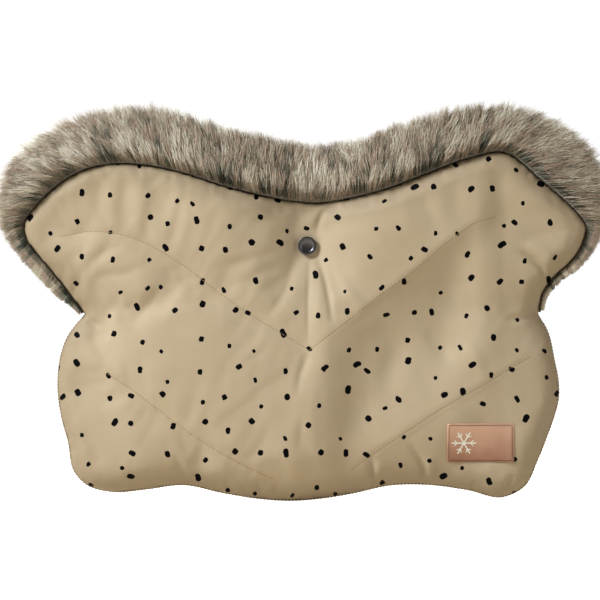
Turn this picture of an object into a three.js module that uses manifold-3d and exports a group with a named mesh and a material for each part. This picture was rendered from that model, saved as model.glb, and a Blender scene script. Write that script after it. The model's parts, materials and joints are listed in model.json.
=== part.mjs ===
// Hand warmer muff for a pushchair handlebar: a padded pouch with a front and a back flap,
// a fur trim along the open edge, a press stud and a sewn-on leather patch.
// Millimetres. +X runs from the left notch to the right one, the front faces -Y, +Z is up.
// The origin is the middle of the flat rest face on the back of the pouch.
import * as THREE from "three";
import { LoftGeometry } from "three/addons/geometries/LoftGeometry.js";
import { mergeGeometries, mergeVertices } from "three/addons/utils/BufferGeometryUtils.js";
import Module from "manifold-3d";

// Where things stand. Heights are from the waist line unless a name says otherwise.
const WAIST_HEIGHT = 60; // the waist line above the middle of the rest face
const HALF_DEPTH = 28; // from the middle of the muff to the rest face
const SNAP = { x: 1, z: 61 };
const LABEL = { x: 156, z: -115, width: 60, height: 35, thickness: 1.4, corner: 2 };

// The layers of a panel, from the inside out.
const GAP = 0.3;
const LINING = 2;
const WADDING = 8;
const WADDING_PRESSED = 1;
const SHELL = 0.8;
const EDGE_TAPER = 20; // how far in from an edge the wadding is pressed thin

// The hollow between the linings, each half measured from the middle.
const HAND_ROOM = 16;
const BACK_ROOM = 16.6; // with the layers behind it, this makes HALF_DEPTH
const BACK_FULLNESS = 1.3;
const SEAM_ROOM = 0.15;
const SNAP_ROOM = 3.2;
const SNAP_PULL = 10; // the press stud holds both panels this far forward of the middle
const SNAP_FLAT = 19;
const SNAP_SPREAD = 61;
const SNAP_RISE = 0.4; // the press stud's pinch reaches further up than to the sides
const BOTTOM_SPREAD = 90;
const WAIST_HALF = 205;
const WAIST_SHIFT = 4;
const BELOW_WAIST = { wider: 24, within: 50 }; // how the hollow widens away from the waist
const ABOVE_WAIST = { wider: 90, within: 60 };
const MOUTH = { flare: 0.35, from: 20, to: 120 }; // the front opens wider towards the top

// The open edge from the left notch over both wings to the right notch.
const OPEN_EDGE = [
  [-199, 0], [-214, 20], [-232, 43], [-249, 64], [-253, 80], [-243, 96], [-222, 116],
  [-190, 132], [-150, 134], [-105, 125], [-60, 111], [5, 100], [60, 109], [105, 125],
  [150, 141], [180, 144], [208, 122], [236, 98], [249, 83], [251, 72], [240, 50],
  [224, 35], [212, 17], [209, 0],
];
const LEFT_TIP = 4;
const RIGHT_TIP = 19;
const LEFT_NOTCH = OPEN_EDGE[0][0];
const RIGHT_NOTCH = OPEN_EDGE.at(-1)[0];

// Where the fur ends, opposite each point of the open edge.
const FUR_EDGE = [
  [-207, 1], [-222, 16], [-242, 37], [-262, 62], [-272, 92], [-266, 120], [-252, 149],
  [-212, 172], [-158, 184], [-110, 179], [-64, 163], [18, 148], [66, 162], [112, 176],
  [156, 183], [196, 184], [236, 168], [257, 134], [268, 110], [264, 76], [250, 46],
  [232, 30], [220, 13], [217, 1],
];

// The sewn edge from the left notch under the pouch to the right notch.
const SEWN_EDGE = [
  [-199, 0], [-215, -21], [-222, -44], [-223.5, -66], [-221, -90], [-214, -116],
  [-211, -138], [-196, -155], [-178, -160], [-145, -158], [-110, -154], [-60, -164],
  [-8, -168], [45, -161], [86, -153], [130, -156], [165, -162], [182, -164], [199, -152],
  [214, -118], [224, -91], [228, -68], [223, -38], [216, -11], [209, 0],
];
const LEFT_SIDE = 3;
const RIGHT_SIDE = 21;

// Where the panels are sliced: close together at the rounded ends and by the press stud.
const WAIST_COLUMNS = [-175, -145, -110, -75, -42, -14, 14, 42, 75, 110, 145, 178, 196];
const UPPER_COLUMNS = [
  -252.3, -249, -241, -222, LEFT_NOTCH, ...WAIST_COLUMNS, RIGHT_NOTCH, 213, 223, 238, 247, 250.4,
];
const LOWER_COLUMNS = [
  -223, -219.5, -214.5, -208, LEFT_NOTCH, ...WAIST_COLUMNS, RIGHT_NOTCH, 217, 224, 227.5,
];
const UPPER_ROWS = [0, 0.24, 0.47, 0.72, 0.87, 1];
const LOWER_ROWS = [0, 0.12, 0.3, 0.5, 0.75, 1];

// Quilting lines: two chevrons, the upper one crossing the waist.
const QUILT_LEFT = [[-194, 74], [-149, 66], [-115, 47], [-72, 15], [-55, 3]];
const QUILT_RIGHT = [[51, 4], [66, 17], [97, 40], [128, 66], [159, 85]];
const QUILT_APEX = [[-51, -3], [-30, -14], [3, -32], [28, -14], [45, -3]];
const QUILT_LOW = [
  [-190, -46], [-159, -65], [-126, -90], [-95, -112], [-58, -134], [-28, -146], [0, -152],
  [28, -144], [56, -128], [80, -111], [107, -93], [140, -73], [190, -44],
];
const QUILT_THREAD = 0.45;
const IN_FRONT = -200; // clear of the muff on its front side

// The fur trim.
const TRIM_GAP = 2.6; // room for the seam thread between the panel and the trim
const TRIM_SECTIONS = 38;
const TRIM_END = 0.012; // the part of the open edge left bare at each notch
const BACKING = { start: 0.1, thickness: 1.2, reach: 0.6 };
const PILE_START = 2.1;
const FRONT_PILE = 14;
const BACK_PILE = 9;
// Across the pile from the seam: [part of its width, part of its thickness].
const PILE_INSIDE = [[0, 0], [0.5, 0], [0.85, 0]];
const PILE_OUTSIDE = [[1, 0.25], [0.85, 0.6], [0.45, 1], [0, 0.5]];

// The seams.
const SEAM_THREAD = 0.4;
const TRIM_SEAM = { end: 0.02, points: 60 };
const EDGE_SEAM = { end: 0.01, points: 50, inset: 1.7, steps: 80 };

// The press stud: radii, and depths from the middle plane of the pulled-together panels.
const SHANK = 2;
const SHANK_HOLE = 2.4;
const HOLE_LENGTH = 80; // longer than the muff is deep
const CAP = { radius: 8.5, rim: 0.9, dome: 3.4 };
const SOCKET = { radius: 6.5, bore: 3.7, lip: 2.9, floor: 0.6, depth: 4.35, lipDepth: 0.5 };
const CLINCH = { radius: 2.8, depth: 0.5 };
const SPRING = { radius: 3, wire: 0.35 };
const STUD = { flange: 6, flangeDepth: 1, neck: 2.2, head: 2.75, headDepth: 0.8, bore: 1.3 };
const POST = { radius: 6.5, depth: 1, stem: 1 };

// The patch's emblem and stitching.
const HUB = 1.6;
const ARM = { length: 11, width: 1.2 };
const TWIG = { length: 3.6, width: 0.9, start: 6 };
const EMBLEM_THICKNESS = 0.6;
const PATCH_SEAM = { inset: 2.4, corner: 1, thread: 0.35, points: 60 };

const HALVINGS = 24; // how closely a height along an edge is found

const { smoothstep, lerp } = THREE.MathUtils;
const wasm = await Module();
wasm.setup();

const printedNylon = () =>
  new THREE.MeshStandardMaterial({ color: 0xb8a582, roughness: 0.62, metalness: 0 });
const wadding = () =>
  new THREE.MeshStandardMaterial({ color: 0xf1efe9, roughness: 1, metalness: 0 });
const fleeceLining = () =>
  new THREE.MeshStandardMaterial({ color: 0xcfc4ad, roughness: 0.95, metalness: 0 });
const furPile = () =>
  new THREE.MeshStandardMaterial({ color: 0x978c7a, roughness: 0.9, metalness: 0 });
const furBacking = () =>
  new THREE.MeshStandardMaterial({ color: 0x6d6455, roughness: 0.95, metalness: 0 });
const khakiThread = () =>
  new THREE.MeshStandardMaterial({ color: 0x9c8963, roughness: 0.8, metalness: 0 });
const darkThread = () =>
  new THREE.MeshStandardMaterial({ color: 0x3a2a1c, roughness: 0.8, metalness: 0 });
const gunmetal = () =>
  new THREE.MeshStandardMaterial({ color: 0x75757c, roughness: 0.32, metalness: 0.9 });
const springSteel = () =>
  new THREE.MeshStandardMaterial({ color: 0xb9bbbd, roughness: 0.3, metalness: 1 });
const roseLeather = () =>
  new THREE.MeshStandardMaterial({ color: 0xa98168, roughness: 0.45, metalness: 0.25 });
const silverFoil = () =>
  new THREE.MeshStandardMaterial({ color: 0xd6d3ce, roughness: 0.28, metalness: 0.85 });

const flat = (points) => new THREE.SplineCurve(points.map(([x, z]) => new THREE.Vector2(x, z)));
const openEdge = flat(OPEN_EDGE);
const furEdge = flat(FUR_EDGE);
const sewnEdge = flat(SEWN_EDGE);

// The height of an edge at x, on the stretch between two of its points where x only grows.
function heightAt(curve, from, to, x) {
  const last = curve.points.length - 1;
  let before = from / last;
  let after = to / last;
  for (let halvings = 0; halvings < HALVINGS; halvings++) {
    const middle = (before + after) / 2;
    if (curve.getPoint(middle).x < x) before = middle;
    else after = middle;
  }
  return curve.getPoint((before + after) / 2).y;
}

const topAt = (x) => heightAt(openEdge, LEFT_TIP, RIGHT_TIP, x);
const bottomAt = (x) => heightAt(sewnEdge, LEFT_SIDE, RIGHT_SIDE, x);

// The underside of the wings, or the waist between the notches.
function wingAt(x) {
  if (x < LEFT_NOTCH) return heightAt(openEdge, LEFT_TIP, 0, x);
  if (x > RIGHT_NOTCH) return heightAt(openEdge, OPEN_EDGE.length - 1, RIGHT_TIP, x);
  return 0;
}

// The shoulders of the pouch under the notches, or the waist between them.
function shoulderAt(x) {
  if (x < LEFT_NOTCH) return heightAt(sewnEdge, LEFT_SIDE, 0, x);
  if (x > RIGHT_NOTCH) return heightAt(sewnEdge, SEWN_EDGE.length - 1, RIGHT_SIDE, x);
  return 0;
}

function snapDistance(x, z) {
  const rise = z - SNAP.z;
  return Math.hypot(x - SNAP.x, rise > 0 ? rise * SNAP_RISE : rise);
}

const awayFromSnap = (x, z) => smoothstep(snapDistance(x, z), SNAP_FLAT, SNAP_SPREAD);

// How far the hollow stands open, from 0 at the sewn edge to 1.
function fullness(x, z) {
  const { wider, within } = z < 0 ? BELOW_WAIST : ABOVE_WAIST;
  const half = WAIST_HALF + wider * smoothstep(Math.abs(z), 0, within);
  const across = Math.abs(x - WAIST_SHIFT) / half;
  const rise = Math.min(1, Math.max(0, z - bottomAt(x)) / BOTTOM_SPREAD);
  return Math.max(0, 1 - across ** 5) * (1 - (1 - rise) ** 3);
}

function frontRoom(x, z) {
  const flare = 1 + MOUTH.flare * smoothstep(z, MOUTH.from, MOUTH.to);
  const open = HAND_ROOM * fullness(x, z) * flare;
  return SEAM_ROOM + lerp(SNAP_ROOM - SEAM_ROOM, open, awayFromSnap(x, z));
}

function backRoom(x, z) {
  const open = Math.min(BACK_ROOM - SEAM_ROOM, HAND_ROOM * BACK_FULLNESS * fullness(x, z));
  return SEAM_ROOM + lerp(SNAP_ROOM - SEAM_ROOM, open, awayFromSnap(x, z));
}

// The middle of the hollow, which the press stud pulls forward.
const middle = (x, z) => -HALF_DEPTH - SNAP_PULL * (1 - awayFromSnap(x, z));

const facing = (side) => (side === "front" ? -1 : 1);

// The inner face of a panel's lining.
function liningFace(side, x, z) {
  const room = side === "front" ? frontRoom(x, z) : backRoom(x, z);
  return middle(x, z) + facing(side) * room;
}

// How far a point is from the nearest edge of its panel.
function edgeDistance(x, z, upper) {
  const outside = x < LEFT_NOTCH || x > RIGHT_NOTCH;
  const notch = Math.min(Math.hypot(x - LEFT_NOTCH, z), Math.hypot(x - RIGHT_NOTCH, z));
  const near = [notch];
  if (upper) near.push(topAt(x) - z, x - OPEN_EDGE[LEFT_TIP][0], OPEN_EDGE[RIGHT_TIP][0] - x);
  else near.push(z - bottomAt(x), x - SEWN_EDGE[LEFT_SIDE][0], SEWN_EDGE[RIGHT_SIDE][0] - x);
  if (outside) near.push(upper ? z - wingAt(x) : shoulderAt(x) - z);
  return Math.max(0, Math.min(...near));
}

function waddingAt(x, z, upper) {
  const plump = smoothstep(edgeDistance(x, z, upper), 0, EDGE_TAPER);
  const free = smoothstep(snapDistance(x, z), SNAP_FLAT, 2 * SNAP_FLAT);
  return lerp(WADDING_PRESSED, WADDING, plump * free);
}

// The inner and outer depth of each layer, counted outwards from the lining's inner face.
function layerDepths(layer, x, z, upper) {
  const thick = waddingAt(x, z, upper);
  if (layer === "lining") return [0, LINING];
  if (layer === "wadding") return [LINING + GAP, LINING + GAP + thick];
  const start = LINING + 2 * GAP + thick;
  return [start, start + SHELL];
}

// The same surface facing the other way.
function turnedOver(geometry) {
  const order = geometry.index;
  for (let i = 0; i < order.count; i += 3) {
    const [second, third] = [order.getX(i + 1), order.getX(i + 2)];
    order.setX(i + 1, third);
    order.setX(i + 2, second);
  }
  return geometry;
}

// A closed sheet between two faces that are grids of points over the same slices.
function sheetBetween(frontGrid, backGrid) {
  const around = (grid) => [
    ...grid.map((slice) => slice[0]),
    ...grid.at(-1).slice(1),
    ...grid.slice(0, -1).reverse().map((slice) => slice.at(-1)),
    ...grid[0].slice(1, -1).reverse(),
  ];
  const back = new LoftGeometry(backGrid, { closed: false });
  const front = turnedOver(new LoftGeometry(frontGrid, { closed: false }));
  const rim = new LoftGeometry([around(frontGrid), around(backGrid)], { closed: true });
  return mergeVertices(mergeGeometries([front, back, turnedOver(rim)]), 1e-3);
}

// One layer of one half panel, in slices across X.
function panelLayer(side, layer, upper) {
  const columns = upper ? UPPER_COLUMNS : LOWER_COLUMNS;
  const rows = upper ? UPPER_ROWS : LOWER_ROWS;
  const low = upper ? wingAt : bottomAt;
  const high = upper ? topAt : shoulderAt;
  const clear = upper ? GAP / 2 : -GAP / 2;
  const grid = (face) =>
    columns.map((x) =>
      rows.map((part) => {
        const z = lerp(low(x), high(x), part);
        const depth = layerDepths(layer, x, z, upper)[face];
        return new THREE.Vector3(x, liningFace(side, x, z) + facing(side) * depth, z || clear);
      }),
    );
  return side === "front" ? sheetBetween(grid(1), grid(0)) : sheetBetween(grid(0), grid(1));
}

function solid(geometry) {
  const plain = new THREE.BufferGeometry();
  plain.setAttribute("position", geometry.getAttribute("position"));
  plain.setIndex(geometry.index);
  const merged = mergeVertices(plain, 1e-3);
  return new wasm.Manifold(
    new wasm.Mesh({
      numProp: 3,
      vertProperties: merged.attributes.position.array,
      triVerts: new Uint32Array(merged.index.array),
    }),
  );
}

function fromSolid(body) {
  const mesh = body.getMesh();
  const geometry = new THREE.BufferGeometry();
  geometry.setAttribute("position", new THREE.BufferAttribute(mesh.vertProperties, 3));
  geometry.setIndex(new THREE.BufferAttribute(mesh.triVerts, 1));
  geometry.computeVertexNormals();
  return geometry;
}

// A layer of a flap, with the hole the press stud's shank goes through.
function flapLayer(side, layer) {
  const hole = new THREE.CylinderGeometry(SHANK_HOLE, SHANK_HOLE, HOLE_LENGTH, 20);
  hole.translate(SNAP.x, -HALF_DEPTH, SNAP.z);
  return fromSolid(solid(panelLayer(side, layer, true)).subtract(solid(hole)));
}

function named(name, geometry, material) {
  const mesh = new THREE.Mesh(geometry, material);
  mesh.name = name;
  return mesh;
}

// A cord of even thickness along a smooth line.
function cord(points, radius, steps) {
  const path = new THREE.CatmullRomCurve3(points);
  const round = new THREE.Shape();
  round.absarc(0, 0, radius, 0, 2 * Math.PI);
  return new THREE.ExtrudeGeometry(round, { steps, curveSegments: 2, extrudePath: path });
}

// A thread lying on a panel's front along a quilting line.
function quiltThread(line, panel) {
  const curve = flat(line);
  const count = 4 * line.length;
  const caster = new THREE.Raycaster();
  const towards = new THREE.Vector3(0, 1, 0);
  const points = curve.getSpacedPoints(count).map(({ x, y: z }) => {
    caster.set(new THREE.Vector3(x, IN_FRONT, z), towards);
    const [hit] = caster.intersectObject(panel);
    return new THREE.Vector3(x, hit.point.y - QUILT_THREAD - 2 * GAP, z);
  });
  return cord(points, QUILT_THREAD, count);
}

// Points beside an edge, moved outwards in its own plane.
function beside(curve, seam, distance, depth) {
  return Array.from({ length: seam.points + 1 }, (_, i) => {
    const t = lerp(seam.end, 1 - seam.end, i / seam.points);
    const { x, y } = curve.getPoint(t);
    const along = curve.getTangent(t);
    const at = new THREE.Vector2(x, y).add(
      new THREE.Vector2(-along.y, along.x).multiplyScalar(distance),
    );
    return new THREE.Vector3(at.x, depth(x, y), at.y);
  });
}

// A strip that follows the open edge. ring(x, z) gives [part of the way out, depth] pairs.
function edgeStrip(ring) {
  const sections = Array.from({ length: TRIM_SECTIONS + 1 }, (_, i) => {
    const t = lerp(TRIM_END, 1 - TRIM_END, i / TRIM_SECTIONS);
    const seam = openEdge.getPoint(t);
    const tip = furEdge.getPoint(t);
    const start = TRIM_GAP / seam.distanceTo(tip);
    return ring(seam.x, seam.y).map(([out, depth]) => {
      const at = seam.clone().lerp(tip, lerp(start, 1, out));
      return new THREE.Vector3(at.x, depth, at.y);
    });
  });
  return new LoftGeometry(sections, { closed: true, capStart: true, capEnd: true });
}

// The trim's knitted backing, on the lining side.
function trimBacking(side) {
  return edgeStrip((x, z) => {
    const near = liningFace(side, x, z) + facing(side) * BACKING.start;
    const far = near + facing(side) * BACKING.thickness;
    const [back, front] = [Math.max(near, far), Math.min(near, far)];
    return [[0, back], [BACKING.reach, back], [BACKING.reach, front], [0, front]];
  });
}

// The trim's pile, thick near the seam and thin at the tips.
function trimPile(side) {
  const thickness = side === "front" ? FRONT_PILE : BACK_PILE;
  return edgeStrip((x, z) => {
    const inner = liningFace(side, x, z) + facing(side) * PILE_START;
    const outline = [...PILE_INSIDE, ...PILE_OUTSIDE];
    const ring = outline.map(([out, part]) => [out, inner + facing(side) * thickness * part]);
    return side === "front" ? ring : ring.reverse();
  });
}

// The thread that holds the trim to the panel's edge.
function trimSeam(side) {
  const depth = (x, z) => liningFace(side, x, z) + facing(side) * LINING;
  const points = beside(openEdge, TRIM_SEAM, TRIM_GAP / 2, depth);
  return cord(points, SEAM_THREAD, TRIM_SEAM.points);
}

function edgeSeam() {
  const points = beside(sewnEdge, EDGE_SEAM, -EDGE_SEAM.inset, () => -HALF_DEPTH);
  return cord(points, SEAM_THREAD, EDGE_SEAM.steps);
}

// Where the press stud's layers stand.
const snapMiddle = -HALF_DEPTH - SNAP_PULL;
const pressedPanel = LINING + WADDING_PRESSED + SHELL + 2 * GAP;
const frontLiningFace = snapMiddle - SNAP_ROOM;
const backLiningFace = snapMiddle + SNAP_ROOM;
const socketFace = frontLiningFace + GAP;
const clinchFace = socketFace + SOCKET.floor + GAP;
const headFace = clinchFace + CLINCH.depth + GAP;
const mouthFace = socketFace + SOCKET.depth;
const springDepth = headFace + STUD.headDepth + GAP + SPRING.wire;

// A turned piece whose profile is [radius, depth] pairs, with its axis along Y at the press stud.
function turned(profile, segments = 18) {
  const points = profile.map(([r, y]) => new THREE.Vector2(r, y));
  const geometry = new THREE.LatheGeometry(points, segments);
  geometry.translate(SNAP.x, 0, SNAP.z);
  return geometry;
}

// The domed cap with the shank that goes through the panel and is clinched in the socket.
function snapCap() {
  const seat = frontLiningFace - pressedPanel - GAP;
  const rim = seat - CAP.rim;
  const crown = Array.from({ length: 7 }, (_, i) => {
    const angle = (i / 6) * (Math.PI / 2);
    return [CAP.radius * Math.sin(angle), rim - (CAP.dome - CAP.rim) * Math.cos(angle)];
  });
  const clinchEnd = clinchFace + CLINCH.depth;
  return turned([
    ...crown, [CAP.radius, seat], [SHANK, seat], [SHANK, clinchFace],
    [CLINCH.radius, clinchFace], [CLINCH.radius, clinchEnd], [0, clinchEnd],
  ]);
}

// The cup with a floor that the shank passes and a lip that keeps the spring.
function snapSocket() {
  const floor = socketFace + SOCKET.floor;
  const lip = mouthFace - SOCKET.lipDepth;
  return turned([
    [SHANK_HOLE, socketFace], [SOCKET.radius, socketFace], [SOCKET.radius, mouthFace],
    [SOCKET.lip, mouthFace], [SOCKET.lip, lip], [SOCKET.bore, lip], [SOCKET.bore, floor],
    [SHANK_HOLE, floor], [SHANK_HOLE, socketFace],
  ]);
}

function snapSpring() {
  const ring = new THREE.TorusGeometry(SPRING.radius, SPRING.wire, 6, 24);
  ring.rotateX(Math.PI / 2);
  ring.translate(SNAP.x, springDepth, SNAP.z);
  return ring;
}

// The stud: a flange on the back lining and a necked head, hollow from behind.
function snapStud() {
  const flangeBack = backLiningFace - GAP;
  const flangeFront = flangeBack - STUD.flangeDepth;
  const headBack = headFace + STUD.headDepth;
  return turned([
    [0, headFace], [STUD.head, headFace], [STUD.head, headBack], [STUD.neck, headBack],
    [STUD.neck, flangeFront], [STUD.flange, flangeFront], [STUD.flange, flangeBack],
    [STUD.bore, flangeBack], [STUD.bore, headBack], [0, headBack],
  ]);
}

// The post: a disc behind the back panel with a stem into the stud.
function snapPost() {
  const seat = backLiningFace + pressedPanel + GAP;
  const stemEnd = headFace + STUD.headDepth + GAP;
  return turned([
    [0, stemEnd], [POST.stem, stemEnd], [POST.stem, seat], [POST.radius, seat],
    [POST.radius, seat + POST.depth], [0, seat + POST.depth],
  ]);
}

function roundedPlate(width, height, corner) {
  const [w, h] = [width / 2, height / 2];
  const plate = new THREE.Shape();
  plate.moveTo(-w + corner, -h);
  plate.lineTo(w - corner, -h);
  plate.absarc(w - corner, -h + corner, corner, -Math.PI / 2, 0);
  plate.absarc(w - corner, h - corner, corner, 0, Math.PI / 2);
  plate.absarc(-w + corner, h - corner, corner, Math.PI / 2, Math.PI);
  plate.absarc(-w + corner, -h + corner, corner, Math.PI, 1.5 * Math.PI);
  return plate;
}

// The patch's own flat outline, front face up, to be laid on the pouch.
function labelPatch() {
  return new THREE.ExtrudeGeometry(roundedPlate(LABEL.width, LABEL.height, LABEL.corner), {
    depth: LABEL.thickness,
    bevelEnabled: false,
    curveSegments: 4,
  });
}

// A six-armed frost star on the left half of the patch.
function labelEmblem() {
  const bar = (length, width) =>
    new THREE.BoxGeometry(length, width, EMBLEM_THICKNESS).translate(length / 2, 0, 0);
  const hub = new THREE.CylinderGeometry(HUB, HUB, EMBLEM_THICKNESS, 12);
  let star = solid(hub.rotateX(Math.PI / 2));
  for (let i = 0; i < 6; i++) {
    const turn = (i * Math.PI) / 3;
    star = star.add(solid(bar(ARM.length, ARM.width).rotateZ(turn)));
    for (const way of [-1, 1]) {
      const twig = bar(TWIG.length, TWIG.width).rotateZ((way * Math.PI) / 4);
      star = star.add(solid(twig.translate(TWIG.start, 0, 0).rotateZ(turn)));
    }
  }
  const height = LABEL.thickness + GAP + EMBLEM_THICKNESS / 2;
  return fromSolid(star).translate(-LABEL.width / 4, 0, height);
}

// The stitch line round the patch, whose two ends stop just short of each other.
function labelStitching() {
  const { inset, corner, thread, points: count } = PATCH_SEAM;
  const loop = roundedPlate(LABEL.width - 2 * inset, LABEL.height - 2 * inset, corner);
  const points = loop.getSpacedPoints(count).slice(0, -1);
  const height = LABEL.thickness + GAP + thread;
  return cord(points.map(({ x, y }) => new THREE.Vector3(x, y, height)), thread, count);
}

// The patch, its emblem and its stitching, laid against the pouch.
function label() {
  const set = new THREE.Group();
  const depthAt = (x, z) => {
    const [, outer] = layerDepths("shell", x, z, false);
    return middle(x, z) - frontRoom(x, z) - outer;
  };
  const reach = 20;
  const across = new THREE.Vector3(
    2 * reach,
    depthAt(LABEL.x + reach, LABEL.z) - depthAt(LABEL.x - reach, LABEL.z),
    0,
  ).normalize();
  const up = new THREE.Vector3(
    0,
    depthAt(LABEL.x, LABEL.z + reach / 2) - depthAt(LABEL.x, LABEL.z - reach / 2),
    reach,
  ).normalize();
  const out = new THREE.Vector3().crossVectors(across, up).normalize();
  const upright = new THREE.Vector3().crossVectors(out, across);
  set.quaternion.setFromRotationMatrix(new THREE.Matrix4().makeBasis(across, upright, out));
  set.position.set(LABEL.x, depthAt(LABEL.x, LABEL.z), LABEL.z).addScaledVector(out, 2 * GAP);
  set.add(
    named("label_patch", labelPatch(), roseLeather()),
    named("label_emblem", labelEmblem(), silverFoil()),
    named("label_stitching", labelStitching(), darkThread()),
  );
  return set;
}

const LAYERS = { shell: printedNylon, wadding, lining: fleeceLining };
const muff = new THREE.Group();
muff.name = "hand_warmer_muff";

for (const side of ["front", "back"]) {
  for (const [layer, material] of Object.entries(LAYERS)) {
    muff.add(named(`${side}_${layer}_lower`, panelLayer(side, layer, false), material()));
    muff.add(named(`${side}_${layer}_upper`, flapLayer(side, layer), material()));
  }
  muff.add(named(`${side}_fur_backing`, trimBacking(side), furBacking()));
  muff.add(named(`${side}_fur_pile`, trimPile(side), furPile()));
  muff.add(named(`${side}_fur_seam_thread`, trimSeam(side), khakiThread()));
}

const flapFront = muff.getObjectByName("front_shell_upper");
const pouchFront = muff.getObjectByName("front_shell_lower");
muff.add(
  named("front_quilt_thread_left", quiltThread(QUILT_LEFT, flapFront), khakiThread()),
  named("front_quilt_thread_right", quiltThread(QUILT_RIGHT, flapFront), khakiThread()),
  named("front_quilt_thread_apex", quiltThread(QUILT_APEX, pouchFront), khakiThread()),
  named("front_quilt_thread_low", quiltThread(QUILT_LOW, pouchFront), khakiThread()),
  named("edge_seam_thread", edgeSeam(), khakiThread()),
  named("snap_cap", snapCap(), gunmetal()),
  named("snap_socket", snapSocket(), gunmetal()),
  named("snap_spring", snapSpring(), springSteel()),
  named("snap_stud", snapStud(), gunmetal()),
  named("snap_post", snapPost(), gunmetal()),
  label(),
);
muff.position.z = WAIST_HEIGHT;

export default muff;
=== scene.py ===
"""The looks of the hand warmer muff: quilted printed panels, plush linings, a long-pile fur trim,
a press stud and a stitched leather patch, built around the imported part."""

import json
import math

import bmesh
import bpy
import numpy as np
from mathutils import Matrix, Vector
from mathutils.bvhtree import BVHTree
from mathutils.geometry import delaunay_2d_cdt


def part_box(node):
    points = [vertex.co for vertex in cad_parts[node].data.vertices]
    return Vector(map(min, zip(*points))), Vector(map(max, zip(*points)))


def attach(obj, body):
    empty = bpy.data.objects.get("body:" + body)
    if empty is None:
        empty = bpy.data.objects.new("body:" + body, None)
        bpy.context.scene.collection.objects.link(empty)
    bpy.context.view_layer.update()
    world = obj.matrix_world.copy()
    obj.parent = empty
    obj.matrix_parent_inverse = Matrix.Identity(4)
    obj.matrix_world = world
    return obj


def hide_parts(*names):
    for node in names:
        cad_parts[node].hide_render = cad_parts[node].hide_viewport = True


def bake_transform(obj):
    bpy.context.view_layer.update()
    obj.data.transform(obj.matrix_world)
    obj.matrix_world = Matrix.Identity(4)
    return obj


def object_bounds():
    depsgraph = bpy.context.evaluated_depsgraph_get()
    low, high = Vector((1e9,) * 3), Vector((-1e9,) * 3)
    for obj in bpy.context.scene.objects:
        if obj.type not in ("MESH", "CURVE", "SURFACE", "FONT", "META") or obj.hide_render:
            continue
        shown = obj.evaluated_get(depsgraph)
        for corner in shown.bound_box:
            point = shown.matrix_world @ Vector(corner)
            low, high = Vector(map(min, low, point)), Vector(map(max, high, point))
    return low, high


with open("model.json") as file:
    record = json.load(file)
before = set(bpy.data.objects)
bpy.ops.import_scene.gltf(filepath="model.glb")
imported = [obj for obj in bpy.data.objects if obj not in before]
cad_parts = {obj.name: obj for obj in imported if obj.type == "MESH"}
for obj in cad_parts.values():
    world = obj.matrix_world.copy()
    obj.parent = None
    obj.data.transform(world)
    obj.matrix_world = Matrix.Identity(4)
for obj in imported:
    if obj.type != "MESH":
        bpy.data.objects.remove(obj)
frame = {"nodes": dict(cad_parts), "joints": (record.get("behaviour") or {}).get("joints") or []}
cad_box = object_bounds()

MM = 0.001
FRONT, BACK = "front", "back"
FACING = {FRONT: -1.0, BACK: 1.0}  # which way along Y each panel's outside looks
WAIST = frame["joints"][0]["pos_m"][2]

# Spacings of points.
PANEL_SPACING = 3.8 * MM
LINING_SPACING = 3.4 * MM
PATCH_SPACING = 0.9 * MM
OUTLINE_STEP = 2.5 * MM
LINE_STEP = 3 * MM
CLEAR_OF_LINES = 0.55  # no loose point is nearer to a line than this part of the spacing

# The cloth, blown up between its stitches.
CLOTH_FRAMES = 20
CLOTH_MASS = 0.02
CLOTH_STRETCH = 14.0
CLOTH_SHEAR = 5.0
CLOTH_BENDING = 0.3
CLOTH_PRESSURE = 4.0
CLOTH_SPARE = 0.02  # it is cut this much larger than the face that it covers
CLOTH_MOST = 7 * MM  # and moves no further than this
CLOTH_ROUNDS = 8  # how often its movement is averaged over the neighbouring points
# It is held this near to its edge and its seams, and this far round the press stud's seat and
# the leather patch.
HELD_EDGE, HELD_SEAM, HELD_SNAP, HELD_PATCH = 0.5 * MM, 0.3 * MM, 1 * MM, 2 * MM
SEAM_ROOM = 3 * MM  # the chevrons' seams end this far from the edge
REST_DEPTH, REST_SOFT, REST_SHARP = 0.5 * MM, 2.5 * MM, 1.6  # where the back's bulge ends
THIN, THIN_SOFT = 3.4 * MM, 0.4 * MM  # the panel's outside stays this far off the lining's face
THIN_EDGE = (2 * MM, 9 * MM)  # from how far in from the edge
CREST_KEPT = 1.5  # a chevron raised more than this, in millimetres, is a crest
CREST_CALM = (34 * MM, 70 * MM)  # the cloth moves less this far above and below a crest

# How the padding is shaped.
EDGE_ROUND = 18 * MM
EDGE_HALF = 1.2 * MM  # a free edge stands this far off the lining's face
SEWN_FROM, SEWN_BELOW = 5 * MM, 24 * MM  # this far under the waist the two edges close up
SEWN_REACH = 4 * MM  # and this far in from them
SEWN_LAP = 0.35 * MM  # each passes the lining's face by this much
SNAP_SEAT = 9 * MM  # the cloth is pressed flat this far round the press stud
SNAP_SLOPE = 34 * MM
TENT_SLOPE = 60 * MM
TENT = 9 * MM  # the front stands this far further forward along its middle
TENT_DROP = 7 * MM  # and this far further back at its sides
TENT_HALF, TENT_ROUND = 0.25, 0.012  # how wide it is, and how blunt its ridge
TENT_EDGE = 45 * MM  # it fades out this near the edge
WAVE, WAVE_SIZE = 0.25 * MM, 34 * MM
PUCKER, PUCKER_SIZE = 0.7 * MM, 10 * MM  # the small waves beside the seams round the edge
PUCKER_REACH, PUCKER_EDGE = 7 * MM, 2.5 * MM
RELIEF_EDGE, RELIEF_SNAP = 16 * MM, 9 * MM  # folds and quilting fade out this near these
INNER_SLOPE, INNER_MOST = 0.3, 1.4 * MM  # the panel's hidden inside, from its edge inwards

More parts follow.
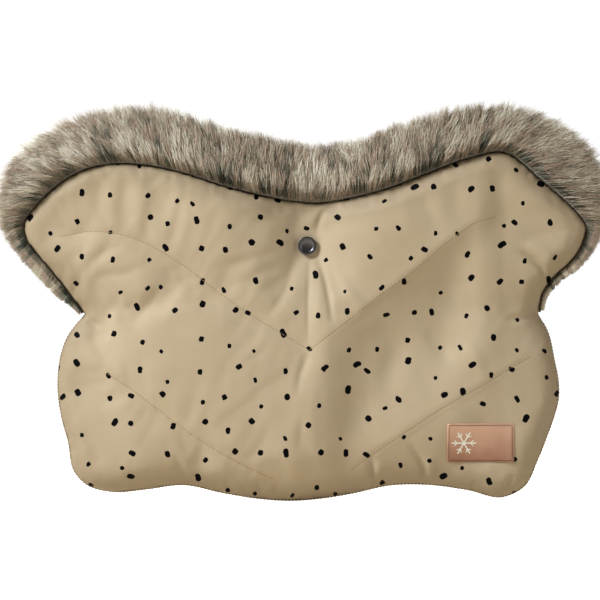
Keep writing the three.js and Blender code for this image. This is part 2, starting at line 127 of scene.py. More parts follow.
# The fleece lining, which lies inside the panel's outline.
LINING_IN = 3 * MM
LINING_STEP = 4 * MM
LINING_THICK = 2 * MM
NAP_HEIGHT, NAP_MOST, NAP_SIZE, NAP_EDGE = 0.175 * MM, 0.05 * MM, 12 * MM, 8 * MM


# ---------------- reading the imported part

ROWS = 6  # points of a slice that goes right through a sheet
SPAN_STEPS = 20
SPLINE_UNITS = 10  # the spline's own units in a metre
SPLINE_EASE = 1e-7
SNAP_HOLE = 6 * MM


def mesh_points(mesh):
    flat = np.empty(3 * len(mesh.vertices))
    mesh.vertices.foreach_get("co", flat)
    return flat.reshape(-1, 3)


def points_of(node):
    return mesh_points(frame["nodes"][node].data)


def slices(node):
    """The x, lowest z and highest z of each slice across X that the node is made of."""
    points = points_of(node)
    across = np.round(points[:, 0], 4)
    found = []
    for x in np.unique(across):
        heights = points[across == x, 2]
        if len(np.unique(np.round(heights, 4))) >= ROWS:
            found.append((x, heights.min(), heights.max()))
    return np.array(found)


def smooth_line(points, step):
    """Evenly spaced points on a smooth curve through the given ones."""
    p = np.asarray(points, float)
    p = np.vstack([2 * p[0] - p[1], p, 2 * p[-1] - p[-2]])
    t = np.linspace(0, 1, SPAN_STEPS, endpoint=False)[:, None]
    pieces = []
    for a, b, c, d in zip(p, p[1:], p[2:], p[3:]):
        l0, l1, l2 = (max(np.linalg.norm(v), 1e-9) for v in (b - a, c - b, d - c))
        m1 = ((b - a) * l1 / l0 + (c - b) * l0 / l1) / (l0 + l1) * l1
        m2 = ((c - b) * l2 / l1 + (d - c) * l1 / l2) / (l1 + l2) * l1
        pieces.append(
            (2 * t**3 - 3 * t**2 + 1) * b + (t**3 - 2 * t**2 + t) * m1
            + (3 * t**2 - 2 * t**3) * c + (t**3 - t**2) * m2
        )
    dense = np.vstack(pieces + [p[-2][None]])
    return evenly(dense, step)


def evenly(line, step):
    run = np.concatenate([[0], np.cumsum(np.linalg.norm(np.diff(line, axis=0), axis=1))])
    count = max(2, int(round(run[-1] / step)) + 1)
    at = np.linspace(0, run[-1], count)
    return np.column_stack([np.interp(at, run, line[:, k]) for k in range(line.shape[1])])


def read_edges():
    """The open edge and the sewn edge, each from the left notch to the right one, as x, z."""
    upper, lower = slices("front_shell_upper"), slices("front_shell_lower")
    flat = upper[np.abs(upper[:, 1] - WAIST) < 0.5 * MM, 0]
    left, right = flat.min(), flat.max()

    def run(table, side_column, crown_column):
        west = table[table[:, 0] <= left][::-1]
        east = table[table[:, 0] >= right][::-1]
        parts = [west[:, [0, side_column]], table[:, [0, crown_column]], east[:, [0, side_column]]]
        line = np.vstack(parts)
        line[[0, -1], 1] = WAIST
        return smooth_line(line, OUTLINE_STEP)

    return run(upper, 1, 2), run(lower, 2, 1)


open_edge, sewn_edge = read_edges()
outline = np.vstack([open_edge[:-1], sewn_edge[::-1][:-1]])
closed_outline = np.vstack([outline, outline[:1]])
snap_low, snap_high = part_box("snap_cap")
snap = np.array([(snap_low.x + snap_high.x) / 2, (snap_low.z + snap_high.z) / 2])
patch_low, patch_high = (np.array([c.x, c.z]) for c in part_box("label_patch"))


def beyond_patch(at):
    """How far each point lies outside the leather patch's rectangle."""
    over = np.maximum(np.maximum(patch_low - at, at - patch_high), 0)
    return np.hypot(over[:, 0], over[:, 1])


class Surface:
    """A smooth depth over x and z through given points (a thin-plate spline)."""

    def __init__(self, points):
        self.knots = points[:, [0, 2]] * SPLINE_UNITS
        n = len(points)
        system = np.zeros((n + 3, n + 3))
        system[:n, :n] = self.kernel(self.knots) + SPLINE_EASE * np.eye(n)
        system[:n, n], system[:n, n + 1 :] = 1, self.knots
        system[n:, :n] = system[:n, n:].T
        self.weights = np.linalg.solve(system, np.append(points[:, 1], [0, 0, 0]))

    def kernel(self, at):
        squared = ((at[:, None] - self.knots[None]) ** 2).sum(-1)
        return 0.5 * squared * np.log(squared + 1e-12)

    def __call__(self, xz):
        at = np.atleast_2d(xz) * SPLINE_UNITS
        n = len(self.knots)
        return self.kernel(at) @ self.weights[:n] + self.weights[n] + at @ self.weights[n + 1 :]


def face_points(nodes, facing):
    """The points of these sheets' faces that look along Y the way facing says."""
    kept = {}
    for x, y, z in np.vstack([points_of(n) for n in nodes]):
        key = (round(x, 4), round(z, 4))
        if key not in kept or (y - kept[key][1]) * facing > 0:
            kept[key] = (x, y, z)
    points = np.array(list(kept.values()))
    return points[np.hypot(*(points[:, [0, 2]] - snap).T) > SNAP_HOLE]


def layer_faces(side, layer, facing):
    return face_points([f"{side}_{layer}_lower", f"{side}_{layer}_upper"], facing)


lining_surface = {
    side: Surface(layer_faces(side, "lining", -FACING[side])) for side in (FRONT, BACK)
}


def read_thickness():
    """The full thickness of a panel, and its thickness where the press stud holds it."""
    shell = layer_faces(FRONT, "shell", FACING[FRONT])
    depth = lining_surface[FRONT](shell[:, [0, 2]]) - shell[:, 1]
    near = np.argmin(np.hypot(shell[:, 0] - snap[0], shell[:, 2] - snap[1]))
    return depth.max(), depth[near]


full_thickness, pressed_thickness = read_thickness()


# ---------------- plane geometry

def at_waist(points):
    """Points in millimetres from the middle of the waist line, as x, z in the frame."""
    return np.array([(x * MM, WAIST + z * MM) for x, z in points])


def at_depth(flat, depth):
    """Points in the frame from their x, z and their depth."""
    return np.column_stack([flat[:, 0], depth, flat[:, 1]])


def closed(loop):
    return np.vstack([loop, loop[:1]])


def from_snap(flat):
    return np.hypot(*(flat - snap).T)


def smoothstep(value, low, high):
    t = np.clip((value - low) / (high - low), 0, 1)
    return t * t * (3 - 2 * t)


def to_line(at, line):
    """Each point's distance to a polyline, its side (+1 on the left) and its share of the way."""
    best = np.full(len(at), np.inf)
    side, along = np.ones(len(at)), np.zeros(len(at))
    count = len(line) - 1
    for i, (a, b) in enumerate(zip(line, line[1:])):
        step = b - a
        t = np.clip(((at - a) @ step) / (step @ step), 0, 1)
        off = at - a - t[:, None] * step
        distance = np.hypot(off[:, 0], off[:, 1])
        closer = distance < best
        best[closer] = distance[closer]
        turn = step[0] * off[:, 1] - step[1] * off[:, 0]
        side[closer] = np.where(turn[closer] >= 0, 1.0, -1.0)
        along[closer] = (i + t[closer]) / count
    return best, side, along


def inside(at, loop):
    crossings = np.zeros(len(at), int)
    for a, b in zip(loop, np.roll(loop, -1, axis=0)):
        spans = (a[1] > at[:, 1]) != (b[1] > at[:, 1])
        if not spans.any():
            continue
        x = a[0] + (at[:, 1] - a[1]) / (b[1] - a[1]) * (b[0] - a[0])
        crossings += spans & (at[:, 0] < x)
    return crossings % 2 == 1


def inset(loop, distance):
    """The loop moved inwards."""
    ahead, behind = np.roll(loop, -3, axis=0), np.roll(loop, 3, axis=0)
    along = ahead - behind
    along /= np.linalg.norm(along, axis=1)[:, None]
    inwards = np.column_stack([along[:, 1], -along[:, 0]])
    return loop + inwards * distance


def lattice(loop, spacing, lines=()):
    """Points and triangles over the inside of a loop, with triangle edges along the lines."""
    low, high = loop.min(0), loop.max(0)
    rows = np.arange(low[1], high[1], spacing * math.sqrt(3) / 2)
    filling = []
    for i, z in enumerate(rows):
        x = np.arange(low[0] + (i % 2) * spacing / 2, high[0], spacing)
        filling.append(np.column_stack([x, np.full(len(x), z)]))
    filling = np.vstack(filling)
    filling = filling[inside(filling, loop)]
    fixed = [loop]
    ring = list(range(len(loop)))
    edges = list(zip(ring, ring[1:] + ring[:1]))
    for line in [closed(loop), *lines]:
        filling = filling[to_line(filling, line)[0] > CLEAR_OF_LINES * spacing]
    for line in lines:
        first = sum(map(len, fixed))
        fixed.append(line)
        edges += [(first + i, first + i + 1) for i in range(len(line) - 1)]
    points = [Vector(p) for p in np.vstack([*fixed, filling])]
    result = delaunay_2d_cdt(points, edges, [], 1, 1e-7)
    spots = np.array([tuple(p) for p in result[0]])
    triangles = np.array([f for f in result[2] if len(f) == 3])
    a, b, c = (spots[triangles[:, k]] for k in range(3))
    turn = (b[:, 0] - a[:, 0]) * (c[:, 1] - a[:, 1]) - (b[:, 1] - a[:, 1]) * (c[:, 0] - a[:, 0])
    triangles[turn < 0] = triangles[turn < 0][:, ::-1]
    return spots, triangles


def edges_of(triangles):
    return np.vstack([triangles[:, [0, 1]], triangles[:, [1, 2]], triangles[:, [2, 0]]])


def rim_edges(triangles):
    """The edges that only one triangle has."""
    edges = edges_of(triangles)
    ordered = np.sort(edges, axis=1)
    _, first, count = np.unique(ordered, axis=0, return_index=True, return_counts=True)
    return edges[first[count == 1]]


# ---------------- making pieces

def new_piece(name, points, faces, materials, indices=None, smooth=True):
    """A mesh object from arrays. faces is an array with three or four corners a row."""
    faces = np.asarray(faces, np.int32)
    mesh = bpy.data.meshes.new(name)
    mesh.vertices.add(len(points))
    mesh.vertices.foreach_set("co", np.asarray(points, np.float32).ravel())
    mesh.loops.add(faces.size)
    mesh.loops.foreach_set("vertex_index", faces.ravel())
    mesh.polygons.add(len(faces))
    starts = np.arange(0, faces.size, faces.shape[1], dtype=np.int32)
    mesh.polygons.foreach_set("loop_start", starts)
    if indices is not None:
        mesh.polygons.foreach_set("material_index", np.asarray(indices, np.int32))
    mesh.polygons.foreach_set("use_smooth", np.full(len(faces), smooth))
    mesh.update(calc_edges=True)
    mesh.validate()
    for material in materials:
        mesh.materials.append(material)
    piece = bpy.data.objects.new(name, mesh)
    bpy.context.collection.objects.link(piece)
    return piece


def keep_map(piece, name, flat):
    """Keeps two numbers for each point as a UV map."""
    mesh = piece.data
    corners = np.empty(len(mesh.loops), np.int32)
    mesh.loops.foreach_get("vertex_index", corners)
    kept = mesh.uv_layers.new(name=name)
    kept.data.foreach_set("uv", flat[corners].astype(np.float32).ravel())


def closed_sheet(spots, triangles, near, far, facing):
    """Two faces over the same triangles, sharing their rim. near holds the points of the face
    that looks the way facing says, far the depths of the other."""
    rim = np.unique(rim_edges(triangles))
    count = len(spots)
    twin = np.arange(count) + count
    twin[rim] = rim
    points = np.vstack([near, at_depth(spots, far)])
    back = twin[triangles][:, ::-1]
    faces = np.vstack([triangles, back])
    if facing > 0:
        faces = faces[:, ::-1]
    used = np.unique(faces)
    renumber = np.zeros(len(points), int)
    renumber[used] = np.arange(len(used))
    flat = np.vstack([spots, spots])[used]
    return points[used], renumber[faces], flat


def tube_faces(sections, sides):
    """The triangles of a closed tube, whose points go round one section after the other."""
    i = np.arange(sections - 1)[:, None] * sides
    j = np.arange(sides)[None]
    ahead = (j + 1) % sides
    quads = np.stack([i + j, i + sides + j, i + sides + ahead, i + ahead], -1).reshape(-1, 4)
    fan = np.arange(1, sides - 1)
    start = np.column_stack([np.zeros(sides - 2, int), fan, fan + 1])
    end = start[:, ::-1] + (sections - 1) * sides
    return np.vstack([quads[:, [0, 1, 2]], quads[:, [0, 2, 3]], start, end])


def tubes(lines, radii, sides):
    """Closed tubes along many lines of the same length: (n, k, 3) centres and (k,) radii."""
    lines = np.asarray(lines, float)
    n, k, _ = lines.shape
    along = np.gradient(lines, axis=1)
    along /= np.linalg.norm(along, axis=2, keepdims=True) + 1e-12
    up = np.where(np.abs(along[..., 1:2]) > 0.9, [[[1.0, 0, 0]]], [[[0, 1.0, 0]]])
    across = np.cross(along, up)
    across /= np.linalg.norm(across, axis=2, keepdims=True) + 1e-12
    other = np.cross(along, across)
    angle = np.arange(sides) * 2 * math.pi / sides
    ring = (
        across[:, :, None] * np.cos(angle)[None, None, :, None]
        + other[:, :, None] * np.sin(angle)[None, None, :, None]
    )
    reach = np.broadcast_to(radii, (n, k))[:, :, None, None]
    points = (lines[:, :, None] + ring * reach).reshape(n, k * sides, 3)
    faces = tube_faces(k, sides) + (np.arange(n) * k * sides)[:, None, None]
    return points.reshape(-1, 3), faces.reshape(-1, 3)


def turned(name, profile, material, segments=56):
    """A piece turned about the press stud's axis from [radius, depth] pairs, which start and end
    on the axis."""
    radius, depth = np.array(profile, float).T[:, :, None]
    angle = np.arange(segments) * 2 * math.pi / segments
    points = np.stack([snap[0] + radius * np.cos(angle), depth + 0 * angle,
                       snap[1] + radius * np.sin(angle)], -1).reshape(-1, 3)
    piece = new_piece(name, points, tube_faces(len(profile), segments), [material])
    merge_and_face_out(piece)
    return piece


def settle(piece, nodes=(), body=None):
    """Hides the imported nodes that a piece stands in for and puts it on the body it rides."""
    if nodes:
        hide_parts(*nodes)
    if body:
        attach(piece, body)
    return piece


def merge_and_face_out(piece):
    work = bmesh.new()
    work.from_mesh(piece.data)
    bmesh.ops.remove_doubles(work, verts=work.verts, dist=1e-7)
    bmesh.ops.recalc_face_normals(work, faces=work.faces)
    work.to_mesh(piece.data)
    work.free()


# ---------------- materials

def blank(name):
    material = bpy.data.materials.new(name)
    material.use_nodes = True
    tree = material.node_tree
    return material, tree, tree.nodes["Principled BSDF"]


def rgb(red, green, blue):
    """A colour as it looks on screen, 0 to 255, as scene-linear values."""
    seen = np.array([red, green, blue]) / 255
    linear = np.where(seen <= 0.04045, seen / 12.92, ((seen + 0.055) / 1.055) ** 2.4)
    return (*linear, 1.0)


def wire(tree, target, inputs):
    """Sets a node's inputs, or links them where the value is another node's output."""
    for key, value in inputs.items():
        if isinstance(value, bpy.types.NodeSocket):
            tree.links.new(value, target.inputs[key])
        else:
            target.inputs[key].default_value = value


def node(tree, kind, inputs=None, **settings):
    made = tree.nodes.new("ShaderNode" + kind)
    for key, value in settings.items():
        setattr(made, key, value)
    wire(tree, made, inputs or {})
    return made


def maths(tree, operation, *values):
    return node(tree, "Math", dict(enumerate(values)), operation=operation).outputs[0]


def vector_maths(tree, operation, inputs):
    return node(tree, "VectorMath", inputs, operation=operation).outputs[0]


def position(tree):
    """Where a point is on the piece itself, in metres."""
    return node(tree, "TexCoord").outputs["Object"]


def split(tree, vector):
    return node(tree, "SeparateXYZ", {"Vector": vector}).outputs


def colour_mix(tree, factor, first, second):
    mixed = node(tree, "Mix", {0: factor, 6: first, 7: second}, data_type="RGBA")
    return mixed.outputs[2]


def noise(tree, vector, scale, detail=2.0, roughness=0.5):
    return node(tree, "TexNoise", {"Vector": vector, "Scale": scale, "Detail": detail,
                                   "Roughness": roughness}).outputs["Fac"]


def bump(tree, height, strength, distance):
    return node(tree, "Bump", {"Height": height, "Strength": strength,
                               "Distance": distance}).outputs[0]


# The printed dots, in metres: how far apart, how ragged and from how small to how large.
DOT_APART, DOT_SCATTER = 0.0262, 0.74
DOT_RAGGED, DOT_RAGGED_SCALE = 0.0016, 260.0
DOT_SMALLEST, DOT_LARGER, DOT_LONGER = 0.0016, 0.0011, 0.6
DOT_TURN = 1.2  # radians either way
DOT_SQUARE = 2.7  # 2 makes an ellipse, more makes a rounded box
WEAVE = 9000.0  # radians of thread in a metre


def ink_dots(tree, flat):
    """1 inside the irregular printed dots, 0 outside. flat is x, z in metres."""
    wobble = node(tree, "TexNoise", {"Vector": flat, "Scale": DOT_RAGGED_SCALE, "Detail": 1.0})
    shaken = vector_maths(tree, "SUBTRACT", {0: wobble.outputs["Color"], 1: (0.5, 0.5, 0.5)})
    shaken = vector_maths(tree, "SCALE", {0: shaken, "Scale": DOT_RAGGED})
    moved = vector_maths(tree, "ADD", {0: flat, 1: shaken})
    cells = node(tree, "TexVoronoi",
                 {"Vector": moved, "Scale": 1 / DOT_APART, "Randomness": DOT_SCATTER},
                 voronoi_dimensions="2D")
    off = vector_maths(tree, "SUBTRACT", {0: moved, 1: cells.outputs["Position"]})
    chance = node(tree, "SeparateColor", {"Color": cells.outputs["Color"]})
    angle = maths(tree, "MULTIPLY_ADD", chance.outputs[0], 2 * DOT_TURN, -DOT_TURN)
    spun = node(tree, "VectorRotate", {"Vector": off, "Angle": angle}, rotation_type="Z_AXIS")
    x, z, _ = split(tree, spun.outputs[0])
    size = maths(tree, "MULTIPLY_ADD", chance.outputs[1], DOT_LARGER, DOT_SMALLEST)
    long = maths(tree, "MULTIPLY_ADD", chance.outputs[2], DOT_LONGER, 1.0)
    across = maths(tree, "DIVIDE", maths(tree, "ABSOLUTE", x), size)
    up = maths(tree, "DIVIDE", maths(tree, "ABSOLUTE", z), maths(tree, "MULTIPLY", size, long))
    reach = maths(tree, "ADD", maths(tree, "POWER", across, DOT_SQUARE),
                  maths(tree, "POWER", up, DOT_SQUARE))
    return node(tree, "MapRange", {0: reach, 1: 0.9, 2: 1.1, 3: 1.0, 4: 0.0}).outputs[0]


def printed_nylon():
    material, tree, shader = blank("printed_nylon")
    flat = node(tree, "UVMap", uv_map="cloth").outputs[0]
    shade, fine = noise(tree, position(tree), 14.0, 3.0), noise(tree, position(tree), 900.0, 2.0)
    cloth = colour_mix(tree, shade, rgb(182, 167, 141), rgb(193, 179, 155))
    cloth = colour_mix(tree, maths(tree, "MULTIPLY", fine, 0.16), cloth, rgb(166, 148, 116))
    # Painted shade: the cloth is coloured up to 42% darker over the last 30 mm towards the panel's
    # edge, where the rounded padding turns into shade. pressed holds this painted shade.
    edge = split(tree, node(tree, "UVMap", uv_map="edge").outputs[0])[0]
    pressed = node(tree, "MapRange", {0: edge, 1: 0.0, 2: 0.03, 3: 0.42, 4: 0.0},
                   interpolation_type="SMOOTHSTEP")
    cloth = colour_mix(tree, pressed.outputs[0], cloth, rgb(122, 106, 80))
    dots = ink_dots(tree, flat)
    x, z, _ = split(tree, flat)
    warp, weft = (maths(tree, "SINE", maths(tree, "MULTIPLY", way, WEAVE)) for way in (x, z))
    weave = maths(tree, "MULTIPLY_ADD", warp, weft, maths(tree, "MULTIPLY", fine, 1.2))
    wire(tree, shader, {
        "Base Color": colour_mix(tree, dots, cloth, rgb(8, 8, 11)),
        "Roughness": 0.6,
        "Specular IOR Level": maths(tree, "MULTIPLY_ADD", dots, -0.22, 0.26),
        "Normal": bump(tree, weave, 0.18, 0.00012),
    })
    return material


KNIT_ROWS = 2400.0  # radians of rib in a metre


def fleece(name, colour, dark):
    material, tree, shader = blank(name)
    curls, tufts = noise(tree, position(tree), 420.0, 4.0, 0.65), noise(tree, position(tree), 60.0)
    mixed = colour_mix(tree, curls, rgb(*dark), rgb(*colour))
    wire(tree, shader, {
        "Base Color": colour_mix(tree, maths(tree, "MULTIPLY", tufts, 0.3), mixed, rgb(*dark)),
        "Roughness": 0.95,
        "Sheen Weight": 0.4,
        "Normal": bump(tree, curls, 0.8, 0.0012),
    })
    return material


def ribs(material):
    """Knitted ribs over a plain fabric."""
    tree = material.node_tree
    x, _, z = split(tree, position(tree))
    rows, loops = (maths(tree, "SINE", maths(tree, "MULTIPLY", way, KNIT_ROWS)) for way in (x, z))
    knit = bump(tree, maths(tree, "ADD", rows, loops), 0.7, 0.0006)
    wire(tree, tree.nodes["Principled BSDF"], {"Normal": knit})


def two_tone(tree, factor, colour, paler):
    """A mix of a colour and one that is this much paler."""
    pale = (min(255, c + paler) for c in colour)
    return colour_mix(tree, factor, rgb(*colour), rgb(*pale))


def thread(name, colour):
    material, tree, shader = blank(name)
    twist = noise(tree, position(tree), 2600.0, 1.0)
    wire(tree, shader, {"Base Color": two_tone(tree, twist, colour, 26), "Roughness": 0.7})
    return material


def metal(name, colour, roughness, metallic=1.0):
    material, tree, shader = blank(name)
    scuffs = noise(tree, position(tree), 900.0, 3.0)
    wire(tree, shader, {
        "Base Color": two_tone(tree, scuffs, colour, 18),
        "Roughness": maths(tree, "MULTIPLY_ADD", scuffs, 0.12, roughness - 0.06),
        "Metallic": metallic,
    })
    return material


def rose_leather():
    material, tree, shader = blank("rose_leather")
    grain, cloud = noise(tree, position(tree), 1500.0, 3.0, 0.6), noise(tree, position(tree), 34.0)
    # Painted light and shade: the leather is coloured paler towards the patch's top and darker
    # towards its bottom.
    height = split(tree, position(tree))[2]
    paler = node(tree, "MapRange",
                 {0: height, 1: patch_low[1], 2: patch_high[1], 3: -0.25, 4: 0.3}).outputs[0]
    cloud = maths(tree, "ADD", cloud, paler)
    base = colour_mix(tree, cloud, rgb(150, 104, 80), rgb(238, 198, 174))
    worn = maths(tree, "MULTIPLY", grain, 0.35)
    wire(tree, shader, {
        "Base Color": colour_mix(tree, worn, base, rgb(120, 80, 58)),
        "Metallic": 0.25,
        "Roughness": maths(tree, "MULTIPLY_ADD", grain, 0.2, 0.32),
        "Normal": bump(tree, grain, 0.35, 0.0002),
    })
    return material


def fur_shade(name, colour):
    """One plain shade of fibre. The pile's pattern comes from which fibre has which shade."""
    material, tree, shader = blank(name)
    wire(tree, shader, {"Base Color": rgb(*colour), "Roughness": 0.55, "Specular IOR Level": 0.3})
    return material


NYLON = printed_nylon()
LINING_FLEECE = fleece("fleece_lining", (214, 203, 181), (176, 163, 138))
# Painted shade: the under-fur's dark colour stands for the shade deep in the pile and in the gap
# at the seam.
UNDERFUR_PAINTED_SHADE = fleece("fur_pile_under_painted_shade", (120, 110, 94), (58, 54, 46))
KNIT = fleece("fur_backing", (128, 118, 100), (92, 84, 70))
KHAKI_THREAD = thread("khaki_thread", (136, 118, 86))
DARK_THREAD = thread("dark_thread", (62, 42, 28))
GUNMETAL = metal("gunmetal", (96, 96, 102), 0.3)
SPRING_STEEL = metal("spring_steel", (176, 178, 182), 0.28)
SILVER = metal("silver_foil", (232, 233, 222), 0.42, 0.25)
LEATHER = rose_leather()
ribs(KNIT)
FUR_RAMP = [
    fur_shade(f"fur_pile_{i}", colour)
    for i, colour in enumerate([
        (66, 69, 62), (104, 108, 97), (150, 148, 133), (190, 166, 150), (208, 202, 184),
        (232, 228, 212), (246, 244, 235),
    ])
]


# ---------------- the panels' shape

# Quilting chevrons, in millimetres from the middle of the waist line: the line, the height of
# the crest along it, how far the crest reaches above it, and how deep and how wide the cloth
# sinks below it.
CHEVRONS = [
    ([(-220, 69), (-194, 74), (-149, 66), (-115, 47), (-72, 15), (-42, -5), (3, -32)],
     0.8, 18, 0, 20),
    ([(3, -32), (38, -5), (66, 17), (97, 40), (128, 66), (155, 83), (172, 87)],
     6.0, 60, 13, 60),
    ([(-178, -53), (-159, -65), (-126, -90), (-95, -112), (-58, -134), (-28, -148)],
     1.0, 20, 0, 20),
    ([(40, -139), (56, -128), (80, -111), (107, -93), (140, -73), (170, -56), (202, -37)],
     2.4, 42, 4, 46),
]
STITCH_GROOVE = (0.9, 2.2)
FOLD_GAIN, FOLD_TIP, FOLD_END = 1.7, 0.03, 0.6
BACK_FOLDS = 0.6  # the plain back is creased less than the quilted front
LIP, LIP_FALL, LIP_FADE = 1.3 * MM, 6 * MM, 40 * MM  # the drop right under a crest's stitches
SINK_RISE = 1.3  # below a crest the cloth comes back up over this many times the sink's width

# Folds of the front, in millimetres from the middle of the waist line: height, half width, line.
FOLDS = [
    (-1.6, 3.2, [(26, 99), (17, 93), (11, 80), (9, 70)]),
    (1.2, 5.0, [(18, 98), (8, 88), (3, 76)]),
    (-1.5, 2.6, [(9, 53), (16, 34), (20, 16), (23, -6)]),
    (-0.8, 2.0, [(3, 50), (2, 20), (2, -24)]),
    (0.5, 4.5, [(10, 50), (11, 20), (10, -20)]),
    (0.8, 5.0, [(24, 44), (38, 20), (52, 4)]),
    (-0.7, 4.0, [(-8, 50), (-22, 14), (-38, -6)]),
    (-0.5, 5.0, [(-14, 60), (-42, 52), (-80, 40)]),
    (-0.4, 5.0, [(-10, 52), (-50, 32), (-86, 20)]),
    (-0.9, 3.4, [(3, -34), (-5, -54), (-8, -72)]),
    (-0.6, 4.0, [(-4, -92), (-6, -120)]),
    (1.2, 22.0, [(8, -40), (2, -80), (-4, -120), (2, -150)]),
    (-0.3, 4.0, [(-34, -28), (-58, -48)]),
    (-1.4, 12.0, [(62, -8), (78, -34), (70, -66)]),
    (-0.9, 6.0, [(108, -14), (118, -28), (130, -42)]),
    (0.5, 5.0, [(144, -26), (152, -40), (160, -58)]),
    (-1.8, 3.0, [(58, -130), (59, -144), (61, -158)]),
    (1.2, 5.0, [(66, -130), (68, -154)]),
    (-1.7, 3.0, [(93, -118), (104, -134), (107, -154)]),
    (1.0, 5.0, [(110, -128), (114, -150)]),
    (-1.6, 3.5, [(186, -144), (181, -154), (178, -163)]),
    (-1.1, 3.5, [(-117, -126), (-111, -140), (-107, -154)]),
    (-0.9, 2.6, [(-44, -148), (-40, -166)]),
    (-0.8, 2.6, [(-28, -150), (-25, -167)]),
    (-0.9, 3.0, [(0, -154), (12, -164)]),
    (-2.4, 3.4, [(192, 56), (204, 48), (213, 38), (215, 24)]),
    (1.2, 6.0, [(196, 62), (214, 54), (224, 42)]),
    (-1.3, 4.0, [(178, -5), (196, -3), (209, -1)]),
    (-1.8, 3.2, [(-199, 1), (-194, -6), (-186, -12)]),
    (-0.9, 7.0, [(-196, -16), (-176, -24)]),
    (-0.8, 5.0, [(-200, 36), (-184, 52), (-164, 62)]),
    (-0.7, 5.0, [(-188, 35), (-160, 37), (-146, 43)]),
    (-0.7, 6.0, [(-160, 5), (-113, 8), (-80, 14)]),
    (0.6, 6.0, [(-150, 22), (-110, 24)]),
    (-0.5, 6.0, [(-216, 60), (-190, 84)]),
    (0.8, 10.0, [(-30, 96), (-90, 104)]),
]


def crests(xz):
    """The quilting: a crest of cloth along each chevron with the stitches sunk along its top."""
    raised = np.zeros(len(xz))
    deep, narrow = STITCH_GROOVE
    for line, height, above, sink, width in CHEVRONS:
        line = smooth_line(at_waist(line), 4 * MM)
        distance, side, _ = to_line(xz, line)
        share = (xz[:, 0] - line[0, 0]) / (line[-1, 0] - line[0, 0])
        fade = smoothstep(share, -0.04, 0.1) * smoothstep(1 - share, -0.04, 0.12)
        below = smoothstep(share, 0, 0.32) * smoothstep(1 - share, 0, 0.32) * (side < 0)
        reach = np.where(side > 0, above, width) * MM
        raised += fade * height * MM * np.exp(-distance / reach)
        way = distance / (width * MM)
        falling = np.sin(math.pi / 2 * np.clip(way, 0, 1))
        rising = np.cos(math.pi / 2 * np.clip((way - 1) / SINK_RISE, 0, 1)) ** 2
        raised -= below * sink * MM * falling * rising
        if height > CREST_KEPT:
            drop = smoothstep(distance, 0, LIP_FALL) * np.exp(-distance / LIP_FADE)
            raised -= np.sqrt(below) * LIP * drop
        raised -= fade * deep * MM * np.exp(-((distance / (narrow * MM)) ** 2))
    return raised


def folds(xz):
    raised = np.zeros(len(xz))
    for height, width, line in FOLDS:
        line = smooth_line(at_waist(line), LINE_STEP)
        distance, _, along = to_line(xz, line)
        taper = np.sqrt(np.sin(math.pi * np.clip(along, FOLD_TIP, 1 - FOLD_TIP)))
        end = np.where((along <= 0) | (along >= 1), FOLD_END, 1.0)
        raised += FOLD_GAIN * height * MM * taper * end * np.exp(-((distance / (width * MM)) ** 2))
    return raised


def ripple(xz, seed, size, count=28):
    """A smooth random waviness from a sum of turned sine waves."""
    draw = np.random.default_rng(seed)
    total = np.zeros(len(xz))
    for _ in range(count):
        angle, phase = draw.uniform(0, 2 * math.pi, 2)
        wave = 2 * math.pi / (size * draw.uniform(0.7, 1.6))
        total += np.sin(wave * (xz[:, 0] * math.cos(angle) + xz[:, 1] * math.sin(angle)) + phase)
    return total / math.sqrt(count)


def padding(xz, edge):
    """How thick the padding is: rounded at the edge and pressed at the press stud."""
    into = np.clip(edge / EDGE_ROUND, 0, 1)
    round_edge = np.sqrt(np.clip(1 - (1 - into) ** 2, 0, 1))
    free = 1 - np.exp(-np.maximum(from_snap(xz) - SNAP_SEAT, 0) / SNAP_SLOPE)
    full = pressed_thickness + (full_thickness - pressed_thickness) * free
    return round_edge * (full - EDGE_HALF)


def rim_rise(spots, edge):
    """How far the panel stands off the lining's face before its padding. Under the notches the
    two panels' edges meet in the sewn seam."""
    sewn = smoothstep(WAIST - spots[:, 1], SEWN_FROM, SEWN_BELOW) * np.exp(-edge / SEWN_REACH)
    return EDGE_HALF - sewn * (EDGE_HALF + SEWN_LAP)


def refined(spots, triangles, moved):
    """Every triangle cut in four, and how far its points move smoothed over their neighbours."""
    pairs, where = np.unique(np.sort(edges_of(triangles)), axis=0, return_inverse=True)
    middle = len(spots) + where.ravel().reshape(3, -1).T
    a, b, c = triangles.T
    ab, bc, ca = middle.T
    fine = np.vstack([np.column_stack(t) for t in ((a, ab, ca), (ab, b, bc), (ca, bc, c),
                                                   (ab, bc, ca))])
    spots = np.vstack([spots, spots[pairs].mean(1)])
    moved = np.vstack([moved, moved[pairs].mean(1)])
    return spots, fine, smoothed(moved, fine)


def smoothed(values, triangles):
    """Values at the points, averaged over their neighbours, with the rim's kept."""
    start, end = edges_of(triangles).T
    still = np.unique(rim_edges(triangles))
    degree = np.bincount(start, minlength=len(values)) * 1.0
    for _ in range(CLOTH_ROUNDS):
        total = np.column_stack([
            np.bincount(start, column[end], minlength=len(values)) for column in values.T])
        following = 0.5 * values + 0.5 * total / degree[:, None]
        following[still] = values[still]
        values = following
    return values


def clear_of_lining(side, outer, edge):
    """The depth of the panel's outside, kept at least a thin layer off the lining."""
    lining = lining_surface[side](outer[:, [0, 2]])
    thick = FACING[side] * (outer[:, 1] - lining)
    kept = THIN + THIN_SOFT * np.logaddexp(0, (thick - THIN) / THIN_SOFT)
    thick += (kept - thick) * smoothstep(edge, *THIN_EDGE)
    return lining + FACING[side] * thick


def flattened(depth):
    """The back lies against a flat place: what would bulge past it spreads out instead."""
    over = (depth - REST_DEPTH) / REST_SOFT
    return REST_DEPTH + REST_SOFT * (over - np.logaddexp(0, over * REST_SHARP) / REST_SHARP)


